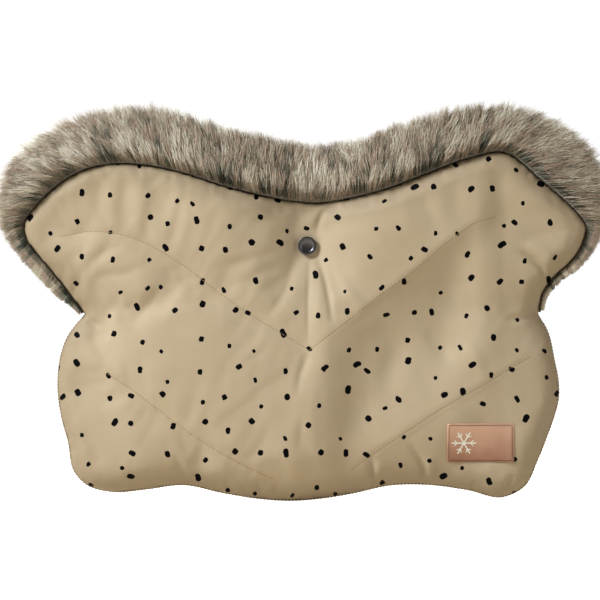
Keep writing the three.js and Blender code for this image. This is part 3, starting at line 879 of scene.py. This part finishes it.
def blown_up(spots, triangles, depth, held, facing):
    """How far each point of the cloth moves when it is blown up between what holds it."""
    points = at_depth(spots, depth)
    faces = triangles if facing < 0 else triangles[:, ::-1]
    cloth = new_piece("cloth", points, faces, [])
    group = cloth.vertex_groups.new(name="held")
    group.add([int(i) for i in np.flatnonzero(held)], 1.0, "REPLACE")
    modifier = cloth.modifiers.new("cloth", "CLOTH")
    settings = modifier.settings
    settings.quality = 4
    settings.mass = CLOTH_MASS
    settings.tension_stiffness = settings.compression_stiffness = CLOTH_STRETCH
    settings.shear_stiffness = CLOTH_SHEAR
    settings.bending_stiffness = CLOTH_BENDING
    settings.use_pressure = True
    settings.uniform_pressure_force = CLOTH_PRESSURE
    settings.shrink_min = -CLOTH_SPARE
    settings.vertex_group_mass = "held"
    settings.effector_weights.gravity = 0.0
    modifier.collision_settings.use_collision = False
    modifier.point_cache.frame_start = 1
    modifier.point_cache.frame_end = CLOTH_FRAMES
    scene = bpy.context.scene
    for step in range(1, CLOTH_FRAMES + 1):
        scene.frame_set(step)
    shown = cloth.evaluated_get(bpy.context.evaluated_depsgraph_get())
    moved = mesh_points(shown.data) - points
    bpy.data.objects.remove(cloth)
    scene.frame_set(1)
    far = np.linalg.norm(moved, axis=1)
    return moved * (CLOTH_MOST * np.tanh(far / CLOTH_MOST) / np.maximum(far, 1e-9))[:, None]


def quilt_seams(side):
    """The chevrons as points a cloth triangle apart, which the cloth is sewn down along."""
    if side == BACK:
        return []
    room = inset(outline, SEAM_ROOM)
    lines = [smooth_line(at_waist(line), LINE_STEP) for line, *_ in CHEVRONS]
    lines = [evenly(line, PANEL_SPACING) for line in lines]
    lines = [line[inside(line, room)] for line in lines]
    lines[1] = lines[1][1:]  # the two upper chevrons meet at one point
    return lines


def padded(side, spots):
    """The depth of the plain padded surface at each spot, without folds or quilting."""
    facing = FACING[side]
    edge = to_line(spots, closed_outline)[0]
    thick = rim_rise(spots, edge) + padding(spots, edge)
    return lining_surface[side](spots) + facing * thick, edge


def relief(side, spots, edge):
    """What folds, quilting and seams add to the padded surface, outwards."""
    inner_part = smoothstep(edge, 0, RELIEF_EDGE)
    pucker = np.exp(-edge / PUCKER_REACH) * smoothstep(edge, 0, PUCKER_EDGE)
    seed = 3 if side == FRONT else 4
    detail = WAVE * ripple(spots, seed, WAVE_SIZE) * inner_part
    detail += PUCKER * ripple(spots, seed + 4, PUCKER_SIZE) * pucker
    if side == BACK:
        detail += BACK_FOLDS * folds(spots) * inner_part
    if side == FRONT:
        across = spots[:, 0] / TENT_HALF
        tent = TENT - (TENT + TENT_DROP) * np.sqrt(across**2 + TENT_ROUND)
        detail += (folds(spots) + crests(spots)) * inner_part
    beyond_snap = np.maximum(from_snap(spots) - SNAP_SEAT, 0)
    detail *= 1 - np.exp(-beyond_snap / RELIEF_SNAP)
    if side == FRONT:
        stands = smoothstep(edge, 0, TENT_EDGE) * (1 - np.exp(-beyond_snap / TENT_SLOPE))
        detail += tent * stands
    return detail


def sewn_down(side, spots, edge, seams):
    """Which points stay put while the cloth is blown up, and how freely the others move."""
    held = (edge < HELD_EDGE) | (from_snap(spots) < SNAP_SEAT + HELD_SNAP)
    free = np.ones(len(spots))
    if side == BACK:
        return held, free
    held |= beyond_patch(spots) < HELD_PATCH
    for line, (_, height, *_) in zip(seams, CHEVRONS):
        distance, way, _ = to_line(spots, line)
        held |= distance < HELD_SEAM
        if height > CREST_KEPT:
            free *= 1 - np.exp(-distance / np.where(way > 0, *CREST_CALM))
    return held, free


def panel(side):
    """The outer panel of one side, crossing the waist."""
    facing = FACING[side]
    seams = quilt_seams(side)
    spots, triangles = lattice(outline, PANEL_SPACING, seams)
    moved = np.zeros((len(spots), 3))
    depth, edge = padded(side, spots)
    held, free = sewn_down(side, spots, edge, seams)
    moved = blown_up(spots, triangles, depth, held, facing)
    moved *= free[:, None]
    spots, triangles, moved = refined(spots, triangles, moved)
    depth, edge = padded(side, spots)
    depth += facing * relief(side, spots, edge)
    outer = at_depth(spots, depth) + moved
    outer[:, 1] = clear_of_lining(side, outer, edge)
    if side == BACK:
        outer[:, 1] = flattened(outer[:, 1])
    behind = rim_rise(spots, edge) + np.minimum(INNER_SLOPE * edge, INNER_MOST)
    inner = lining_surface[side](spots) + facing * behind
    points, faces, flat = closed_sheet(spots, triangles, outer, inner, facing)
    piece = new_piece(f"{side}_panel", points, faces, [NYLON])
    keep_map(piece, "cloth", flat)
    # The distance from the edge, kept for the cloth's painted edge shade.
    from_edge = to_line(flat, closed_outline)[0]
    keep_map(piece, "edge", np.column_stack([from_edge, from_edge]))
    layers = [f"{side}_{layer}_{half}" for layer in ("shell", "wadding")
              for half in ("lower", "upper")]
    return settle(piece, layers)


def plush_lining(side):
    """The fleece inside one panel."""
    facing = FACING[side]
    within = inset(outline, LINING_IN)
    loop = evenly(closed(within), LINING_STEP)[:-1]
    spots, triangles = lattice(loop, LINING_SPACING)
    edge = to_line(spots, closed(loop))[0]
    lining = lining_surface[side](spots) + facing * LINING_THICK / 2
    half = LINING_THICK / 2 * np.clip(edge / LINING_STEP, 0, 1)
    seed = 11 if side == FRONT else 12
    nap = NAP_HEIGHT * ripple(spots, seed, NAP_SIZE) * smoothstep(edge, 0, NAP_EDGE)
    near = at_depth(spots, lining + facing * half)
    far = lining - facing * (half + np.minimum(nap, NAP_MOST))
    points, faces, _ = closed_sheet(spots, triangles, near, far, facing)
    piece = new_piece(f"{side}_lining", points, faces, [LINING_FLEECE])
    return settle(piece, [f"{side}_lining_lower", f"{side}_lining_upper"])


def bend_at_waist(piece):
    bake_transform(piece)


panels = {side: panel(side) for side in (FRONT, BACK)}
linings = {side: plush_lining(side) for side in (FRONT, BACK)}


def skin(side):
    mesh = panels[side].data
    corners = [tuple(v.co) for v in mesh.vertices]
    return BVHTree.FromPolygons(corners, [tuple(p.vertices) for p in mesh.polygons])


skins = {side: skin(side) for side in (FRONT, BACK)}


def on_skin(side, xz, lift):
    """Points lying on a panel's outside, lift above it."""
    facing = FACING[side]
    found = []
    for x, z in xz:
        hit = skins[side].ray_cast(Vector((x, facing * 0.3, z)), Vector((0, -facing, 0)))[0]
        depth = hit.y if hit else lining_surface[side]([[x, z]])[0]
        found.append((x, depth + facing * lift, z))
    return np.array(found)


# ---------------- the fur trim

BAND_STEP = 2.0 * MM
LEFT_FADE, RIGHT_FADE = 30 * MM, 85 * MM  # the pile is clipped shorter this far from its ends
END_WIDTH = 0.35
WIDEST, NARROWEST = 75 * MM, 8 * MM
TURN_REACH, WIDTH_REACH, BASE_REACH = 14, 6, 4  # steps each way that its course is averaged over
SHARES = 9  # points across the under-fur and the backing


def trim_widths(side, line, outwards):
    """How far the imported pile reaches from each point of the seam."""
    mesh = frame["nodes"][f"{side}_fur_pile"].data
    spots = points_of(f"{side}_fur_pile")[:, [0, 2]]
    ends = np.array([tuple(e.vertices) for e in mesh.edges])
    a, b = spots[ends[:, 0]], spots[ends[:, 1]]
    step = b - a
    widths = []
    for point, way in zip(line, outwards):
        cross = way[0] * step[:, 1] - way[1] * step[:, 0]
        cross = np.where(np.abs(cross) < 1e-12, 1e-12, cross)
        off = a - point
        reach = (off[:, 0] * step[:, 1] - off[:, 1] * step[:, 0]) / cross
        share = (off[:, 0] * way[1] - off[:, 1] * way[0]) / cross
        met = (share >= 0) & (share <= 1) & (reach > 0) & (reach < WIDEST)
        widths.append(reach[met].max() if met.any() else NARROWEST)
    return np.array(widths)


def averaged(values, reach):
    """A running mean over the seam, reach points each way."""
    values = np.asarray(values, float)
    wide = np.pad(values, [(reach, reach)] + [(0, 0)] * (values.ndim - 1), mode="edge")
    window = np.hanning(2 * reach + 3)[1:-1]
    window /= window.sum()
    columns = wide.reshape(len(wide), -1).T
    return np.array([np.convolve(c, window, "valid") for c in columns]).T.reshape(values.shape)


class Band:
    """The strip along the open edge that the fur grows on."""

    def __init__(self, side):
        self.side, self.facing = side, FACING[side]
        self.line = evenly(open_edge, BAND_STEP)
        along = np.gradient(self.line, axis=0)
        along /= np.linalg.norm(along, axis=1)[:, None]
        square = np.column_stack([-along[:, 1], along[:, 0]])
        out = averaged(square, TURN_REACH)
        self.out = out / np.linalg.norm(out, axis=1)[:, None]
        run = np.arange(len(self.line)) * BAND_STEP
        ends = smoothstep(run, 0, LEFT_FADE) * smoothstep(run[::-1], 0, RIGHT_FADE)
        width = averaged(trim_widths(side, self.line, self.out), WIDTH_REACH)
        self.width = width * (END_WIDTH + (1 - END_WIDTH) * ends)
        self.base = averaged(lining_surface[side](self.line), BASE_REACH)
        self.count = len(self.line)

    def at(self, place, values):
        """Values along the seam at fractional places."""
        low = np.clip(place.astype(int), 0, self.count - 2)
        part = place - low
        part = part[:, None] if values.ndim > 1 else part
        return values[low] * (1 - part) + values[low + 1] * part


def band_sheet(band, name, start, reach, depths, material, bumps=0.0):
    """A closed strip along the band. depths(share) gives its outer and inner depth from the
    lining's face at a share of its width."""
    shares = np.linspace(0, 1, SHARES)
    outer = np.array([depths(s)[0] for s in shares])
    inner = np.array([depths(s)[1] for s in shares])
    ring_share = np.concatenate([shares, shares[-2:0:-1]])
    ring_depth = np.concatenate([outer, inner[-2:0:-1]])
    sections = np.arange(1, band.count - 1)
    width = np.clip(band.width[sections] * reach - start, 1 * MM, None)
    off = start + width[:, None] * ring_share[None]
    spots = band.line[sections][:, None] + band.out[sections][:, None] * off[..., None]
    rough = bumps * ripple(spots.reshape(-1, 2), 21, 9 * MM).reshape(off.shape)
    thin = smoothstep(band.width[sections], 4 * MM, 26 * MM)[:, None] * 0.7 + 0.3
    depth = band.base[sections][:, None] + band.facing * (ring_depth[None] * thin + rough)
    points = np.stack([spots[..., 0], depth, spots[..., 1]], -1).reshape(-1, 3)
    piece = new_piece(name, points, tube_faces(*depth.shape), [material])
    merge_and_face_out(piece)
    return piece


# The under-fur and the knit: how far out they start, how much of the pile's width they take up,
# and their depths from the lining's face.
UNDER_START, UNDER_REACH, UNDER_BUMPS = 0.3 * MM, 0.8, 0.5 * MM
UNDER_INNER, UNDER_OUTER, UNDER_CROWN = 2.1 * MM, 2.4 * MM, 6 * MM
KNIT_START, KNIT_REACH = -3 * MM, 0.66
KNIT_INNER, KNIT_END, KNIT_OUTER = 0.3 * MM, 1 * MM, 1.6 * MM


# The under-fur is a dark sheet of painted shade under the fibres, reaching into the gap at the
# seam.
def under_fur(band):
    def depths(share):
        crown = math.sin(math.pi * (0.12 + 0.88 * share)) ** 0.6 if share < 1 else 0
        return UNDER_OUTER + UNDER_CROWN * crown, UNDER_INNER

    piece = band_sheet(band, f"{band.side}_fur_under", UNDER_START, UNDER_REACH, depths,
                       UNDERFUR_PAINTED_SHADE, UNDER_BUMPS)
    return settle(piece, [f"{band.side}_fur_pile"])


def fur_backing(band):
    def depths(share):
        return (KNIT_OUTER, KNIT_INNER) if share < 1 else (KNIT_END, KNIT_END)

    piece = band_sheet(band, f"{band.side}_fur_backing_knit", KNIT_START, KNIT_REACH, depths, KNIT)
    return settle(piece, [f"{band.side}_fur_backing"])


# A fibre: where its points are along it, how thick it is there, and its shape.
STRAND_STEPS = np.array([0.0, 0.36, 0.72, 1.0])
STRAND_RADII = np.array([0.19, 0.2, 0.15, 0.04]) * MM
STRAND_LENGTH, SHORTEST = 25 * MM, 3 * MM
STRAND_RISE = 11.5 * MM
WISPY, WISP = 0.3, 0.6  # this part of the fibres has this part of the thickness
ROOT_START, ROOT_LIFT, PILE_LIFT = 0.3 * MM, 2.6 * MM, 3 * MM
ROOTED = 0.74  # the fibres grow on this part of the band's width
LOCK_ALONG, LOCK_ACROSS = 2.1, 5.2 * MM  # steps of the band, and how far out
LOCK_GATHER = 0.5
LOCK_VARIES = (0.10, 0.13, 0.85)  # how much the locks' lean, curl and shade vary
STRAY = 0.06  # and how far each fibre strays from its lock's lean and curl
COMB = 0.62  # radians that the pile is combed away from the middle of the trim
TONE = 3.15  # the middle shade, and how much painted shade darkens the trim's narrow ends under the wings
LEFT_END_PAINTED_SHADE, RIGHT_END_PAINTED_SHADE = 1.4, 0.1
SIDE_SHADES = np.array([-1.0, 0.2, 1.1])  # each side of a fibre catches the light its own way


def grow_fur(band, part, low, high, count, seed):
    """Fibres on a stretch of the band, in locks that share a lean, a curl and a shade."""
    draw = np.random.default_rng(seed)
    place = draw.uniform(low, high, count)
    width = band.at(place, band.width)
    root = (draw.random(count) ** 0.9) * ROOTED * width + ROOT_START
    lock_key = np.floor(place / LOCK_ALONG + draw.uniform(-0.25, 0.25, count)).astype(int) * 64
    lock_key += np.floor(root / LOCK_ACROSS + draw.uniform(-0.25, 0.25, count)).astype(int)
    _, lock = np.unique(lock_key, return_inverse=True)
    locks = lock.max() + 1
    lock_place = np.bincount(lock, place) / np.bincount(lock)
    lock_root = np.bincount(lock, root) / np.bincount(lock)
    lean_noise, curl_noise, shade_noise = (draw.normal(0, by, locks) for by in LOCK_VARIES)
    seat = band.at(place, band.line)
    out = band.at(place, band.out)
    along = np.column_stack([out[:, 1], -out[:, 0]])
    off_middle = place / band.count - 0.5
    sway = np.tanh(off_middle / 0.1) * (1 - 0.6 * smoothstep(np.abs(off_middle), 0.3, 0.46))
    drift = 0.12 * ripple(seat, 33, 45 * MM)
    lean = COMB * sway + drift + lean_noise[lock] + draw.normal(0, STRAY, count)
    way = out * np.cos(lean)[:, None] + along * np.sin(lean)[:, None]
    side_way = np.column_stack([way[:, 1], -way[:, 0]])
    length = draw.uniform(0.7, 1.12, count) * STRAND_LENGTH
    fringe = (draw.uniform(-2.5, 3.5, count) + draw.exponential(1.2, count)) * MM
    fringe *= np.clip(width / (30 * MM), 0.25, 1)
    room = np.maximum(width + fringe - root, SHORTEST) / np.cos(lean).clip(0.6, 1)
    length = np.minimum(length, room)
    t = STRAND_STEPS[None, :, None]
    curl = (curl_noise[lock] + draw.normal(0, STRAY, count))[:, None, None]
    flat = seat[:, None] + out[:, None] * root[:, None, None]
    flat = flat + way[:, None] * length[:, None, None] * t
    flat = flat + side_way[:, None] * (curl * length[:, None, None] * t**2)
    gather = (lock_root[lock] - root)[:, None, None] * out[:, None]
    gather = gather + ((lock_place[lock] - place) * BAND_STEP)[:, None, None] * along[:, None]
    flat = flat + gather * LOCK_GATHER * t**1.5
    bulk = np.clip(width / (40 * MM), 0.2, 1)
    rise = draw.uniform(0.7, 1.08, count) * STRAND_RISE * bulk * (1 - 0.45 * root / width)
    lift = rise[:, None] * np.sin(math.pi * (0.08 + 0.72 * STRAND_STEPS[None])) ** 1.1
    depth_base = band.at(place, band.base)[:, None] + band.facing * ROOT_LIFT
    depth = depth_base + band.facing * (lift + PILE_LIFT * bulk[:, None])
    lines = np.stack([flat[..., 0], depth, flat[..., 1]], -1)
    wispy = draw.random(count) < WISPY
    points, faces = tubes(lines, STRAND_RADII * np.where(wispy, WISP, 1.0)[:, None], 3)
    patch = ripple(seat + out * root[:, None] * 0.6, 31, 30 * MM) * 0.75
    tone = TONE + patch + shade_noise[lock] + draw.normal(0, 0.6, count)
    # Painted shade: the fibres where the trim narrows under the wings are coloured darker, much
    # more at the left end than at the right.
    narrow = 1 - smoothstep(width, 6 * MM, 26 * MM)
    tone -= np.where(off_middle < 0, LEFT_END_PAINTED_SHADE, RIGHT_END_PAINTED_SHADE) * narrow
    wall = np.repeat(np.arange(3), 3)
    zone = np.concatenate([wall, wall, [0], [2]])
    shades = np.round(tone[:, None] + SIDE_SHADES[zone])
    index = np.clip(shades, 0, len(FUR_RAMP) - 1).astype(int)
    piece = new_piece(f"{band.side}_fur_{part}", points, faces, FUR_RAMP, index.ravel())
    return settle(piece)


def trim(side, strands, parts, seed):
    band = Band(side)
    pieces = [under_fur(band), fur_backing(band)]
    cuts = np.linspace(2, band.count - 3, len(parts) + 1)
    count = int(strands * (1.0)) // len(parts)
    for k, part in enumerate(parts):
        pieces.append(grow_fur(band, part, cuts[k], cuts[k + 1], count, seed + k))
    for piece in pieces:
        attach(piece, f"{side}_flap")
    return band


bands = {
    FRONT: trim(FRONT, 57000, "abcdef", 101),
    BACK: trim(BACK, 36000, "abcd", 201),
}


# ---------------- seams and stitches

# Stitches: from one to the next, how long one is, and its radius.
QUILT_STITCH = (3.4 * MM, 2.4 * MM, 0.3 * MM)
TRIM_STITCH = (3.2 * MM, 2.6 * MM, 0.35 * MM)
EDGE_STITCH = (3.2 * MM, 2.7 * MM, 0.5 * MM)
PATCH_STITCH = (2.3 * MM, 1.5 * MM, 0.32 * MM)
STITCH_TAPER = np.array([0.35, 0.9, 1.0, 0.9, 0.35])
STITCH_PARTS = 8  # points from one stitch to the next
QUILT_LIFT = 0.05 * MM
TRIM_SEAM_OUT = 0.9 * MM
SEAM_END, EDGE_SEAM_END = 3, 4  # points left bare at each end of the trim's seam and the sewn one


def stitches(name, line, stitch, material):
    """Separate stitches along a line of points, each thin at its ends."""
    pitch, length, radius = stitch
    line = evenly(line, pitch / STITCH_PARTS)
    centres = STITCH_PARTS * (np.arange((len(line) - 1) // STITCH_PARTS) + 0.5)
    half = max(2, int(round(STITCH_PARTS / 2 * length / pitch)))
    at = centres[:, None] + np.linspace(-half, half, len(STITCH_TAPER))
    at = np.clip(at, 0, len(line) - 1)
    rows = np.stack([np.interp(at, np.arange(len(line)), line[:, k]) for k in range(3)], -1)
    points, faces = tubes(rows, STITCH_TAPER * radius, 6)
    return new_piece(name, points, faces, [material])


def quilting():
    """The stitches of each chevron, split at the waist."""
    nodes = {
        (1, "upper"): ["front_quilt_thread_left"], (2, "upper"): ["front_quilt_thread_right"],
        (1, "lower"): ["front_quilt_thread_apex"], (3, "lower"): ["front_quilt_thread_low"],
    }
    for number, (line, *_) in enumerate(CHEVRONS, 1):
        flat = evenly(smooth_line(at_waist(line), LINE_STEP), LINE_STEP)
        above = flat[:, 1] > WAIST + 1 * MM
        for half, part in (("upper", flat[above]), ("lower", flat[~above])):
            if len(part) < 4:
                continue
            line = on_skin(FRONT, part, QUILT_LIFT)
            piece = stitches(f"front_quilting_{number}_{half}", line, QUILT_STITCH, KHAKI_THREAD)
            settle(piece, nodes.get((number, half), ()))
            bend_at_waist(piece)


def seam_line(side):
    """The stitches that hold the fur trim to the panel's edge."""
    band = bands[side]
    part = slice(SEAM_END, -SEAM_END)
    spots = band.line[part] + band.out[part] * TRIM_SEAM_OUT
    depth = band.base[part] + band.facing * EDGE_HALF
    piece = stitches(f"{side}_trim_seam", at_depth(spots, depth), TRIM_STITCH, KHAKI_THREAD)
    settle(piece, [f"{side}_fur_seam_thread"], f"{side}_flap")


def sewn_seam():
    """The stitches that join the two panels under the notches."""
    flat = evenly(sewn_edge, 2 * MM)[EDGE_SEAM_END:-EDGE_SEAM_END]
    depth = (lining_surface[FRONT](flat) + lining_surface[BACK](flat)) / 2
    piece = stitches("edge_seam", at_depth(flat, depth), EDGE_STITCH, KHAKI_THREAD)
    settle(piece, ["edge_seam_thread"], "pouch")


quilting()
seam_line(FRONT)
seam_line(BACK)
sewn_seam()


# ---------------- the press stud

# The cap: its dished face and its rim as [part of the radius, depth behind the front].
DISH = [(0, 1.15 * MM), (0.25, 1.1 * MM), (0.48, 0.95 * MM), (0.62, 0.65 * MM), (0.7, 0.3 * MM)]
RIM = [(0.995, 0.7 * MM), (1, 1.5 * MM)]
ROLL_MIDDLE, ROLL_HALF, ROLL_HEIGHT, ROLL_CUT = 0.85, 0.15, 0.3 * MM, 0.2
SHANK, CLINCH, CLINCH_DEPTH = 2 * MM, 2.8 * MM, 0.5 * MM


def snap_cap():
    radius = (snap_high.x - snap_low.x) / 2
    top, clinch = snap_low.y, snap_high.y
    seat = lining_surface[FRONT]([snap])[0] - pressed_thickness - 0.1 * MM
    dish, rim = ([(part * radius, top + depth) for part, depth in line] for line in (DISH, RIM))
    roll = [
        ((ROLL_MIDDLE - ROLL_HALF * math.cos(a)) * radius, top + ROLL_HEIGHT * (1 - math.sin(a)))
        for a in np.linspace(ROLL_CUT, math.pi - ROLL_CUT, 9)
    ]
    skirt = [(0.99 * radius, seat - 0.4 * MM), (0.95 * radius, seat)]
    shank = [(SHANK, seat), (SHANK, clinch - CLINCH_DEPTH), (CLINCH, clinch - CLINCH_DEPTH),
             (CLINCH, clinch), (0, clinch)]
    cap = turned("snap_cap_turned", dish + roll + rim + skirt + shank, GUNMETAL)
    settle(cap, ["snap_cap"], "front_flap")


snap_cap()


# ---------------- the leather patch

PATCH_CORNER = 1.4 * MM
PATCH_THICK, PATCH_BEHIND = 1.5 * MM, 0.8 * MM
PATCH_ROUND, PATCH_CUT_EDGE = 1.0 * MM, 0.45  # the edge is rounded down to this part of the height
PATCH_STITCH_IN = 1.7 * MM
PATCH_GROOVE = (0.35 * MM, 0.6 * MM)
STAR_LEAST, STAR_MOST = -0.35 * MM, 0.35 * MM  # of the emblem, off the leather's face
SEAT_UNIT = 30 * MM  # the fitted face is worked out in this unit


def rounded_loop(low, high, corner, step):
    """A rectangle's edge with rounded corners, clockwise seen from the front."""
    centres = [(low[0] + corner, high[1] - corner, 180), (high[0] - corner, high[1] - corner, 90),
               (high[0] - corner, low[1] + corner, 0), (low[0] + corner, low[1] + corner, -90)]
    points = []
    for x, z, start in centres:
        for turn in np.radians(np.linspace(start, start - 90, 6)):
            points.append((x + corner * math.cos(turn), z + corner * math.sin(turn)))
    points.append(points[0])
    return evenly(np.array(points), step)[:-1]


class Seat:
    """The smooth, stiff face that the patch takes over the soft cloth."""

    def __init__(self):
        x, z = np.meshgrid(np.linspace(patch_low[0], patch_high[0], 13),
                           np.linspace(patch_low[1], patch_high[1], 9))
        at = np.column_stack([x.ravel(), z.ravel()])
        depth = on_skin(FRONT, at, 0)[:, 1]
        self.fit = np.linalg.lstsq(self.terms(at), depth, rcond=None)[0]

    def terms(self, at):
        x, z = ((at - (patch_low + patch_high) / 2) / SEAT_UNIT).T
        return np.column_stack([np.ones(len(at)), x, z, x * x, x * z, z * z])

    def __call__(self, at):
        return self.terms(np.atleast_2d(at)) @ self.fit


def leather_patch():
    seat = Seat()
    loop = rounded_loop(patch_low, patch_high, PATCH_CORNER, 1.0 * MM)
    spots, triangles = lattice(loop, PATCH_SPACING)
    edge = to_line(spots, closed(loop))[0]
    into = np.clip(edge / PATCH_ROUND, 0, 1)
    crown = np.sqrt(1 - (1 - into) ** 2)
    rise = PATCH_THICK * (PATCH_CUT_EDGE + (1 - PATCH_CUT_EDGE) * crown)
    groove, groove_half = PATCH_GROOVE
    rise -= groove * np.exp(-(((edge - PATCH_STITCH_IN) / groove_half) ** 2))
    depth = seat(spots)
    near = at_depth(spots, depth - rise)
    points, faces, _ = closed_sheet(spots, triangles, near, depth + PATCH_BEHIND, -1)
    patch = new_piece("leather_patch", points, faces, [LEATHER])
    settle(patch, ["label_patch"], "pouch")

    seam = rounded_loop(patch_low + PATCH_STITCH_IN, patch_high - PATCH_STITCH_IN,
                        PATCH_CORNER, 0.5 * MM)
    seam = closed(seam)
    line = at_depth(seam, seat(seam) - PATCH_THICK + 0.1 * MM)
    sewn = stitches("patch_stitches", line, PATCH_STITCH, DARK_THREAD)
    settle(sewn, ["label_stitching"], "pouch")

    emblem = points_of("label_emblem")
    mesh = frame["nodes"]["label_emblem"].data
    mesh.calc_loop_triangles()
    triangles = np.array([t.vertices[:] for t in mesh.loop_triangles])
    terms = seat.terms(emblem[:, [0, 2]])
    lean = terms @ np.linalg.lstsq(terms, emblem[:, 1], rcond=None)[0]
    face = seat(emblem[:, [0, 2]]) - PATCH_THICK
    lift = np.clip(emblem[:, 1] - lean, STAR_LEAST, STAR_MOST)
    emblem = np.column_stack([emblem[:, 0], face + lift, emblem[:, 2]])
    star = new_piece("frost_star", emblem, triangles, [SILVER], smooth=False)
    settle(star, ["label_emblem"], "pouch")


leather_patch()


def keep_node(node_name, material):
    piece = frame["nodes"][node_name]
    piece.data.materials.clear()
    piece.data.materials.append(material)


for name in ("snap_socket", "snap_stud", "snap_post"):
    keep_node(name, GUNMETAL)
keep_node("snap_spring", SPRING_STEEL)

for side in (FRONT, BACK):
    bend_at_waist(panels[side])
    bend_at_waist(linings[side])


# ---------------- floor, light and camera

FLOOR_HALF = 8.0
CAMERA_WAY = 3.0  # from the front of the muff, in metres
CAMERA_SPAN = 0.54  # what it sees across, there
CAMERA_LENS = 200.0
CAMERA_AT = (-5.4 * MM, -30 * MM, WAIST + 12.6 * MM)  # what it looks at
WHITE = (1, 1, 1, 1)


def pale_stage():
    mesh = bpy.data.meshes.new("floor")
    height = cad_box[0][2] - 0.5 * MM
    corners = [(-1, -1), (1, -1), (1, 1), (-1, 1)]
    mesh.from_pydata([(FLOOR_HALF * x, FLOOR_HALF * y, height) for x, y in corners],
                     [], [(0, 1, 2, 3)])
    floor = bpy.data.objects.new("floor", mesh)
    bpy.context.collection.objects.link(floor)
    material, tree, shader = blank("floor")
    seen = node(tree, "LightPath").outputs["Is Camera Ray"]
    wire(tree, shader, {"Base Color": (0.9, 0.82, 0.68, 1), "Roughness": 1.0,
                        "Specular IOR Level": 0.0, "Emission Color": WHITE,
                        "Emission Strength": seen})
    mesh.materials.append(material)


def area_light(name, place, aim, size, power, colour=(1, 1, 1)):
    data = bpy.data.lights.new(name, "AREA")
    data.size, data.energy, data.color = size, power, colour
    light = bpy.data.objects.new(name, data)
    light.location = place
    light.rotation_euler = (Vector(aim) - Vector(place)).to_track_quat("-Z", "Y").to_euler()
    bpy.context.collection.objects.link(light)


def studio():
    aim = (0, 0, WAIST)
    area_light("key", (-2.8, -1.7, 2.3), aim, 1.4, 180)
    area_light("fill", (2.9, -1.3, 0.7), aim, 2.4, 26, (1, 0.94, 0.86))
    area_light("rim", (0.2, 2.2, 1.8), aim, 1.8, 30)
    world = bpy.data.worlds.new("studio")
    bpy.context.scene.world = world
    world.use_nodes = True
    tree = world.node_tree
    seen = node(tree, "LightPath").outputs["Is Camera Ray"]
    wire(tree, tree.nodes["Background"], {
        "Color": colour_mix(tree, seen, (1, 0.88, 0.71, 1), WHITE),
        "Strength": maths(tree, "MULTIPLY_ADD", seen, 0.95, 0.11),
    })
    bpy.context.scene.view_settings.view_transform = "Standard"


def camera():
    """Straight at the front from far away, as the muff was photographed."""
    data = bpy.data.cameras.new("camera")
    data.lens = CAMERA_LENS
    data.sensor_width = CAMERA_SPAN / CAMERA_WAY * CAMERA_LENS
    made = bpy.data.objects.new("camera", data)
    made.location = Vector(CAMERA_AT) - Vector((0, CAMERA_WAY, 0))
    made.rotation_euler = (math.pi / 2, 0, 0)
    bpy.context.collection.objects.link(made)
    bpy.context.scene.camera = made


pale_stage()
studio()
camera()
